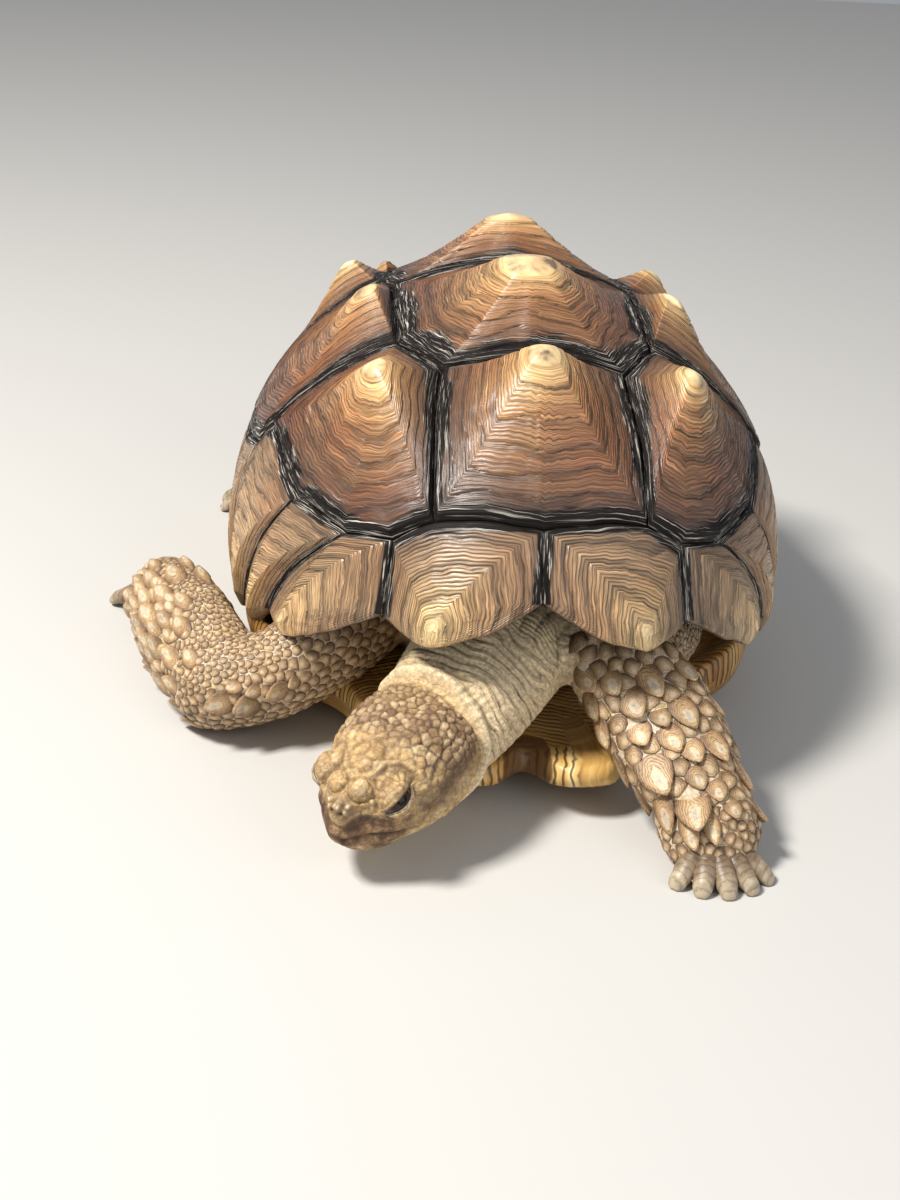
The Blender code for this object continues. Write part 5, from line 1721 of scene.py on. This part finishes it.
# %% Meshes of the tiles
def tile_mesh(name, rows, big_ones, seed):
    places, out, sizes, tone = rows[:, 0:3], unit(rows[:, 6:9]), rows[:, 9], rows[:, 10]
    along = unit(rows[:, 3:6] - out * (rows[:, 3:6] * out).sum(1)[:, None])
    across = np.cross(along, out)
    neighbours = np.concatenate([places, big_ones[:, :3]])
    all_sizes = np.concatenate([sizes, SPADE_SHARE * big_ones[:, 3]])
    reach, turn = tile_reach(places, sizes, across, along, neighbours, all_sizes)
    ray = np.cos(turn)[None, :, None] * along[:, None] + np.sin(turn)[None, :, None] * across[:, None]
    rim = places[:, None] + ray * reach[..., None]
    foot, rise = np.empty_like(rim), np.empty_like(rim)
    for i in range(len(places)):
        for k in range(TILE_AROUND):
            foot[i, k], rise[i, k] = skin_tree.find_nearest(Vector(rim[i, k]))[:2]
    thick = (sizes * np.random.default_rng(seed).uniform(0.85, 1.25, len(sizes)))[:, None, None]
    tilt = 1 + 0.35 * np.cos(turn)[None, :, None]
    spots, unwrapped = [], []
    flat = np.stack([0.5 * np.sin(turn), 0.5 * np.cos(turn)], 1)
    for share, height in TILE_RINGS:
        up = unit(out[:, None] * (1 - share) + rise * share)
        lift = thick * height * (tilt if height > 0 else 1)
        spots.append(places[:, None] * (1 - share) + foot * share + up * lift)
        unwrapped.append(np.concatenate([flat * share, np.full((TILE_AROUND, 1), height)], 1))
    ends = [places + out * thick[:, 0] * height for height in TILE_ENDS]
    one = np.concatenate([*unwrapped, [(0, 0, height) for height in TILE_ENDS]])
    grid = np.concatenate([np.stack(spots, 1).reshape(len(places), -1, 3),
                           np.stack(ends, 1)], 1)
    per = grid.shape[1]
    starts = (np.arange(len(places)) * per)[:, None, None]
    faces = [(kind + starts).reshape(-1, kind.shape[1])
             for kind in closed_tube(len(TILE_RINGS), TILE_AROUND)]
    mesh = mesh_from_arrays(name, grid.reshape(-1, 3), *faces)
    spot = np.tile(one, (len(places), 1))
    store(mesh, "spot", spot)
    store(mesh, "tone", np.repeat(tone, per))
    corners = numbers_of(mesh.loops, "vertex_index", 1).ravel()
    bake = mesh.uv_layers.new(name="OFBake")
    flat_map = np.repeat(rows[:, 11:13], per, axis=0) + spot[:, :2] * PATCH
    bake.data.foreach_set("uv", flat_map[corners].astype(np.float32).ravel())
    above_floor(mesh)
    mesh.shade_smooth()
    return mesh


# %% Finish of the scales
def scale_material(name, worn, rings, foot):
    """Dark where the scale grows from, ringed in the middle, worn cream or grey at the tip."""
    material, tree, shader = new_material(name, roughness=0.5)
    place = object_place(tree)
    across, ahead, height = three_values(tree, "spot")
    behind_tip = maths(tree, "SUBTRACT", 0.18, ahead)
    away = maths(tree, "SQRT", maths(tree, "ADD", times(tree, behind_tip, behind_tip),
                                     times(tree, times(tree, across, across), 1.7)))
    away = swayed(tree, noise(tree, place, 120.0, detail=4.0), 0.32, away)
    colour = ramp(tree, away, worn)
    shade = ramp(tree, attribute(tree, "tone"), [(0.0, 0.72), (0.5, 0.95), (1.0, 1.12)])
    colour = tinted(tree, colour, shade)
    ripple = maths(tree, "FRACT", times(tree, away, rings))
    ridge = ramp(tree, ripple, [(0.0, 0.34), (0.3, 1.0), (0.75, 1.1), (1.0, 0.42)])
    ridged = ramp(tree, away, [(0.14, 0.0), (0.24, 0.9)])
    colour = tinted(tree, colour, ridge, ridged)
    crack = noise(tree, place, 380.0, detail=4.0, roughness=0.7)
    cracked = ramp(tree, crack, [(0.32, 0.62), (0.5, 1.0), (0.7, 1.18)])
    colour = tinted(tree, colour, cracked)
    colour = mix(tree, ramp(tree, height, [(0.0, 1.0), (0.1, 0.0)]), colour, foot)
    link(tree, colour, shader.inputs["Base Color"])
    first = bump(tree, shader, ridge, 0.35, 0.0004)
    bump(tree, shader, crack, 0.4, 0.0004, under=first)
    return material


SPADE_WORN = [(0.05, (0.54, 0.455, 0.355)), (0.15, (0.7, 0.555, 0.36)),
              (0.27, (0.56, 0.365, 0.185)), (0.42, (0.44, 0.27, 0.135)), (0.62, (0.22, 0.13, 0.07))]
TILE_WORN = [(0.06, (0.6, 0.455, 0.295)), (0.25, (0.53, 0.365, 0.205)),
             (0.44, (0.37, 0.225, 0.112)), (0.56, (0.2, 0.12, 0.062))]
SPADE_HORN = scale_material("spade_horn", SPADE_WORN, 13.0, (0.16, 0.1, 0.06))
TILE_HORN = scale_material("tile_horn", TILE_WORN, 9.0, (0.34, 0.26, 0.18))
grow_scales("spade_scales", SPADE, spade_roots, 1, SPADE_HORN)
for name, (rows, big_ones) in tile_roots.items():
    show(f"tiles_{name}", tile_mesh(f"tiles_{name}", rows, big_ones, 40), TILE_HORN)
for name in ["spade_scales"] + [f"tiles_{name}" for name in tile_roots]:
    grown = bpy.data.objects[name].data
    print(name, len(grown.polygons), "faces; maps:", [layer.name for layer in grown.uv_layers])


# %% [markdown]
# ## Claws
#
# The claws are blunt cones of grey-brown horn, ridged across by wear.  Each foot's claws fan out
# from one point.  A claw is a loft whose radius shrinks towards the tip, and it sleeves the short
# core of skin below it.

# %% Claws
CLAW_FANS = {  # foot: place of the fan, heading, spread, count, reach, length, radius
    "foreleg_left": ((0.101, -0.292, 0.011), -84, 24, 5, 0.014, 0.025, 0.0074),
    "foreleg_right": ((-0.228, -0.008, 0.013), 110, 22, 5, 0.012, 0.028, 0.0072),
    "hind_leg_left": ((0.155, 0.178, 0.012), -25, 26, 4, 0.018, 0.024, 0.0067),
    "hind_leg_right": ((-0.155, 0.178, 0.012), 205, 26, 4, 0.018, 0.024, 0.0067),
}
CLAW_ROWS, CLAW_COLUMNS = 20, 14
CLAW_ROOT, CLAW_END = -0.22, 0.97  # where the rows start and stop along the length
CLAW_LOWEST = 0.5 * MM  # above the floor


def claw_points(centre, turn, reach, length, radius, seed):
    out = np.array([cos(turn), sin(turn), 0.0])
    side = np.array([-sin(turn), cos(turn), 0.0])
    share = np.linspace(CLAW_ROOT, CLAW_END, CLAW_ROWS)[:, None]
    drop = 0.01 * np.maximum(share, 0) ** 1.6
    spot = np.array(centre) + out * (reach + length * share) - np.array([0, 0, 1]) * drop
    size = radius * (1.04 - 0.5 * np.maximum(share, 0) ** 2.2) * (1 - 0.5 * ease(0.88, 1.0, share))
    size *= 1 + 0.035 * np.sin(share * 24 + seed)
    angle = np.arange(CLAW_COLUMNS) * 2 * pi / CLAW_COLUMNS
    grid = spot[:, None] + (size * np.cos(angle))[..., None] * side
    grid[..., 2] += size * np.sin(angle) * (1 - 0.18 * (np.sin(angle) < 0))
    grid[..., 2] = np.maximum(grid[..., 2], CLAW_LOWEST)
    ends = [grid[0].mean(0), grid[-1].mean(0) + out * 0.5 * MM]
    shares = np.append(np.repeat(share.ravel(), CLAW_COLUMNS), [CLAW_ROOT, 1.0])
    return np.concatenate([grid.reshape(-1, 3), ends]), shares


def claw_mesh(name, centre, heading, spread, count, reach, length, radius):
    points, shares, faces = [], [], []
    for k in range(count):
        turn = radians(heading + spread * (k - (count - 1) / 2))
        claw, share = claw_points(centre, turn, reach, length, radius, k * 1.7)
        points.append(claw)
        shares.append(share)
        faces += [kind + k * len(claw) for kind in closed_tube(CLAW_ROWS, CLAW_COLUMNS)]
    mesh = mesh_from_arrays(name, np.concatenate(points), *faces)
    store(mesh, "share", np.concatenate(shares))
    return mesh


# %% Horn of the claws
def claw_material():
    material, tree, shader = new_material("claw_horn", roughness=0.42)
    place = object_place(tree)
    share = attribute(tree, "share")
    streak = noise(tree, place, 190.0, detail=4.0)
    wear = swayed(tree, streak, 0.9, share)
    colour = ramp(tree, wear, [(0.0, (0.08, 0.047, 0.026)), (0.3, (0.15, 0.098, 0.058)),
                               (0.6, (0.25, 0.18, 0.115)), (0.95, (0.46, 0.375, 0.26))])
    ring = maths(tree, "FRACT", maths(tree, "MULTIPLY_ADD", streak, 1.3, times(tree, share, 7.0)))
    band = ramp(tree, ring, [(0.0, 0.62), (0.22, 1.0), (0.8, 1.08), (1.0, 0.68)])
    link(tree, tinted(tree, colour, band), shader.inputs["Base Color"])
    first = bump(tree, shader, band, 0.4, 0.0005)
    bump(tree, shader, streak, 0.35, 0.0004, under=first)
    return material


CLAW_HORN = claw_material()
for name, facts in CLAW_FANS.items():
    show(f"claws_{name}", claw_mesh(name, *facts), CLAW_HORN)
print("claws:", sum(facts[3] for facts in CLAW_FANS.values()))


# %% [markdown]
# ## Plastron
#
# The belly shield is one closed loft through a smooth outline: a flat underside to rest on, an
# edge that turns up, and the two yellow prongs under the throat.  Its growth lines are worked out
# from the plan of its plates, six on each side, and dark horn fills the lines.

# %% Outline of the belly shield
PLASTRON_TOP = 0.03
PLASTRON_HALF = [  # x, y, lower and upper height of the edge in mm, from the fork to the notch
    (0, -228, 16, 32), (20, -250, 21, 34), (46, -249, 21, 34), (58, -230, 14, 32),
    (72, -208, 8, 30), (92, -180, 6, 30), (104, -148, 6, 30), (146, -112, 12, 40),
    (164, -70, 22, 45.5), (168, 0, 22, 45.5), (164, 60, 22, 45.5), (148, 100, 12, 40),
    (112, 122, 6, 30), (104, 150, 5, 28), (86, 180, 5, 27), (56, 202, 6, 26),
    (28, 198, 6, 26), (0, 172, 4, 26)]
PLASTRON_STEPS = 16
PLATE_LINES = np.array([-260, -196, -132, -88, 58, 128, 210]) / 1000  # seams, front to back


def smooth_outline(ring, steps):
    """A closed curve through the ring's points, with steps points from each to the next."""
    before, after, next_one = (np.roll(ring, k, 0) for k in (1, -1, -2))
    t = (np.arange(steps) / steps)[None, :, None]
    curve = 0.5 * (2 * ring[:, None] + (after - before)[:, None] * t
                   + (2 * before - 5 * ring + 4 * after - next_one)[:, None] * t ** 2
                   + (3 * ring - before - 3 * after + next_one)[:, None] * t ** 3)
    return curve.reshape(-1, ring.shape[1])


# %% Belly shield
def plastron_mesh():
    around = PLASTRON_HALF + [(-x, y, low, high) for x, y, low, high in PLASTRON_HALF[-2:0:-1]]
    outline = smooth_outline(np.array(around) / 1000, PLASTRON_STEPS)
    plan, low, high = outline[:, :2], outline[:, 2], outline[:, 3]
    rows = [(share, 0 * low) for share in np.linspace(0.06, 0.8, 22)]
    rows += [(0.8 + 0.2 * t, low * t ** 1.5) for t in (0.2, 0.4, 0.6, 0.8, 0.95)]
    rows += [(1.0 + 0.012 * sin(pi * t), low + (high - low) * t) for t in (0.05, 0.25, 0.5, 0.75, 0.95)]
    rows += [(1.0 - 0.13 * t, high + (PLASTRON_TOP - high) * ease(0, 1, t) + 0.0012 * sin(pi * t))
             for t in np.linspace(0.06, 1, 12)]
    rows += [(share, 0 * low + PLASTRON_TOP) for share in (0.75, 0.5, 0.2)]
    points = np.concatenate([np.column_stack([plan * share, height]) for share, height in rows])
    shares = np.repeat([share for share, _ in rows], len(plan))
    points = np.concatenate([points, [(0, 0, 0), (0, 0, PLASTRON_TOP)]])
    shares = np.append(shares, [0, 0])
    edge = norm(points[:, :2], axis=1) * (1 / np.maximum(shares, 0.05) - 1)
    lines = np.abs(points[:, 1:2] - PLATE_LINES).min(1)
    middle = np.abs(points[:, 0] - 0.004 * np.sin(points[:, 1] / 0.03))
    border = np.minimum(np.minimum(lines, middle), np.maximum(edge, 0.0015))
    aside = np.abs(points[:, 0])
    prong = ease(-0.185, -0.205, points[:, 1]) * ease(0.008, 0.014, points[:, 2])
    tip = (prong > 0.5) & (points[:, 1] < -0.232 + 0.45 * aside)
    lengthwise = (aside - 0.12 * (points[:, 1] + 0.25)) / (5.2 * MM)
    crosswise = (points[:, 1] + 0.3 * aside) / (4.4 * MM)
    upper_side = (prong > 0.5) | (points[:, 2] > 0.016)
    number = np.where(tip, lengthwise, np.where(upper_side, crosswise, border / (3.6 * MM)))
    lined = np.where(tip, ease(0.034, 0.026, aside), 1.0)
    number = number + 0.55 * ripples(points, 0.035, 61) + 0.15 * ripples(points, 0.009, 62, 2)
    ridge = np.abs(number - np.floor(number) - 0.5) * 2
    points[:, 2] += np.where(points[:, 2] > 0.002, 0.45 * MM * (1 - ridge ** 3), 0.0)
    seam = np.where(prong > 0.5, 2 * ease(0.017, 0.01, aside) * ease(-0.205, -0.218, points[:, 1]),
                    bell(border / (1.1 * MM)))
    points[:, 2] += np.where(shares < 0.85, 0.5 * MM * bell(border / (1.1 * MM)), 0)
    mesh = mesh_from_arrays("plastron_shield", points, *closed_tube(len(rows), len(plan)))
    store(mesh, "growth", np.column_stack([number, lined, seam]))
    store(mesh, "aside", aside)
    return mesh


# %% Horn of the belly shield
def plastron_material():
    material, tree, shader = new_material("plastron_horn", roughness=0.42)
    place = object_place(tree)
    ring, lined, seam = three_values(tree, "growth")
    patch = noise(tree, place, 26.0, detail=4.0)
    along = vector_of(tree, 0.0, times(tree, ring, 0.9), 0.0)
    streak = noise(tree, add_vectors(tree, place, along, 14.0), 1.0, detail=4.0)
    yellow = ramp(tree, streak, [(0.32, (0.42, 0.205, 0.055)), (0.46, (0.62, 0.36, 0.105)),
                                 (0.6, (0.8, 0.55, 0.2)), (0.74, (0.88, 0.7, 0.36))])
    groove = maths(tree, "FRACT", ring)
    dark = ramp(tree, groove, [(0.0, 1.0), (0.18, 0.7), (0.3, 0.0), (0.84, 0.0), (1.0, 1.0)])
    amount = ramp(tree, patch, [(0.34, 0.25), (0.5, 1.0)])
    dark = times(tree, dark, times(tree, amount, lined))
    colour = mix(tree, dark, yellow, (0.06, 0.025, 0.01))
    # The sides of the shield at the bridge turn browner: partly the bridge's own browner horn, partly
    # painted shade, as under the shell's edge.
    bridge = ramp(tree, attribute(tree, "aside"), [(0.1, 0.0), (0.135, 0.75)])
    colour = tinted(tree, colour, (0.58, 0.45, 0.33), bridge)
    blotch = ramp(tree, maths(tree, "MULTIPLY_ADD", seam, 0.35, patch), [(0.7, 0.0), (0.84, 0.85)])
    colour = mix(tree, blotch, colour, (0.105, 0.042, 0.016))
    link(tree, colour, shader.inputs["Base Color"])
    first = bump(tree, shader, streak, 0.4, 0.0005)
    bump(tree, shader, noise(tree, place, 500.0, detail=3.0), 0.25, 0.0003, under=first)
    return material


show("plastron_shield", plastron_mesh(), plastron_material(), ["plastron"])
print("belly shield:", len(PLATE_LINES) - 1, "plates on each side")


# %% [markdown]
# ## Studio
#
# A pale floor, one large soft lamp from the animal's right and above, a weak fill from the other
# side, and a pale sky keep the colours plain and the ridges readable.

# %% Floor and lamps
def studio_floor():
    bpy.ops.mesh.primitive_plane_add(size=6.0)
    floor = bpy.context.active_object
    floor.name = "studio_floor"
    material, tree, shader = new_material("floor_paint", roughness=0.85)
    shader.inputs["Base Color"].default_value = (0.56, 0.55, 0.53, 1.0)
    floor.data.materials.append(material)
    return floor


def lamp(name, place, target, size, power, colour):
    data = bpy.data.lights.new(name, "AREA")
    data.size = size
    data.energy = power
    data.color = colour
    item = bpy.data.objects.new(name, data)
    item.location = place
    item.rotation_euler = (Vector(target) - Vector(place)).to_track_quat("-Z", "Y").to_euler()
    bpy.context.scene.collection.objects.link(item)


studio_floor()
lamp("key_lamp", (-1.25, -0.62, 2.05), (0, -0.05, 0.1), 0.45, 88, (1.0, 0.96, 0.9))
lamp("fill_lamp", (1.6, -1.8, 1.2), (0, -0.1, 0.1), 2.0, 17, (0.94, 0.97, 1.0))
world = bpy.data.worlds.new("studio_air")
world.use_nodes = True
world.node_tree.nodes["Background"].inputs["Color"].default_value = (0.9, 0.94, 1.0, 1.0)
world.node_tree.nodes["Background"].inputs["Strength"].default_value = 0.36
bpy.context.scene.world = world

# %% Camera
CAMERA_PLACE = Vector((-0.128, -1.1163, 0.5816))
CAMERA_TURN = (-5.115, 26.913, 3.438)  # azimuth, elevation and roll, in degrees
CAMERA_LENS = 54.0  # mm on a 36 mm long side


def front_camera():
    azimuth, elevation, roll = (radians(a) for a in CAMERA_TURN)
    back = Vector((sin(azimuth) * cos(elevation), -cos(azimuth) * cos(elevation), sin(elevation)))
    right = (-back).cross(Vector((0, 0, 1))).normalized()
    up = right.cross(-back)
    right, up = right * cos(roll) + up * sin(roll), up * cos(roll) - right * sin(roll)
    turn = Matrix((right, up, back)).transposed().to_4x4()
    data = bpy.data.cameras.new("camera")
    data.lens = CAMERA_LENS
    data.sensor_width = 36.0
    data.clip_start = 0.02
    item = bpy.data.objects.new("camera", data)
    item.matrix_world = Matrix.Translation(CAMERA_PLACE) @ turn
    bpy.context.scene.collection.objects.link(item)
    bpy.context.scene.camera = item


front_camera()
bpy.context.scene.view_settings.view_transform = "Standard"
bpy.context.view_layer.update()
print("camera", round(CAMERA_PLACE.length, 2), "m from the middle of the plastron")
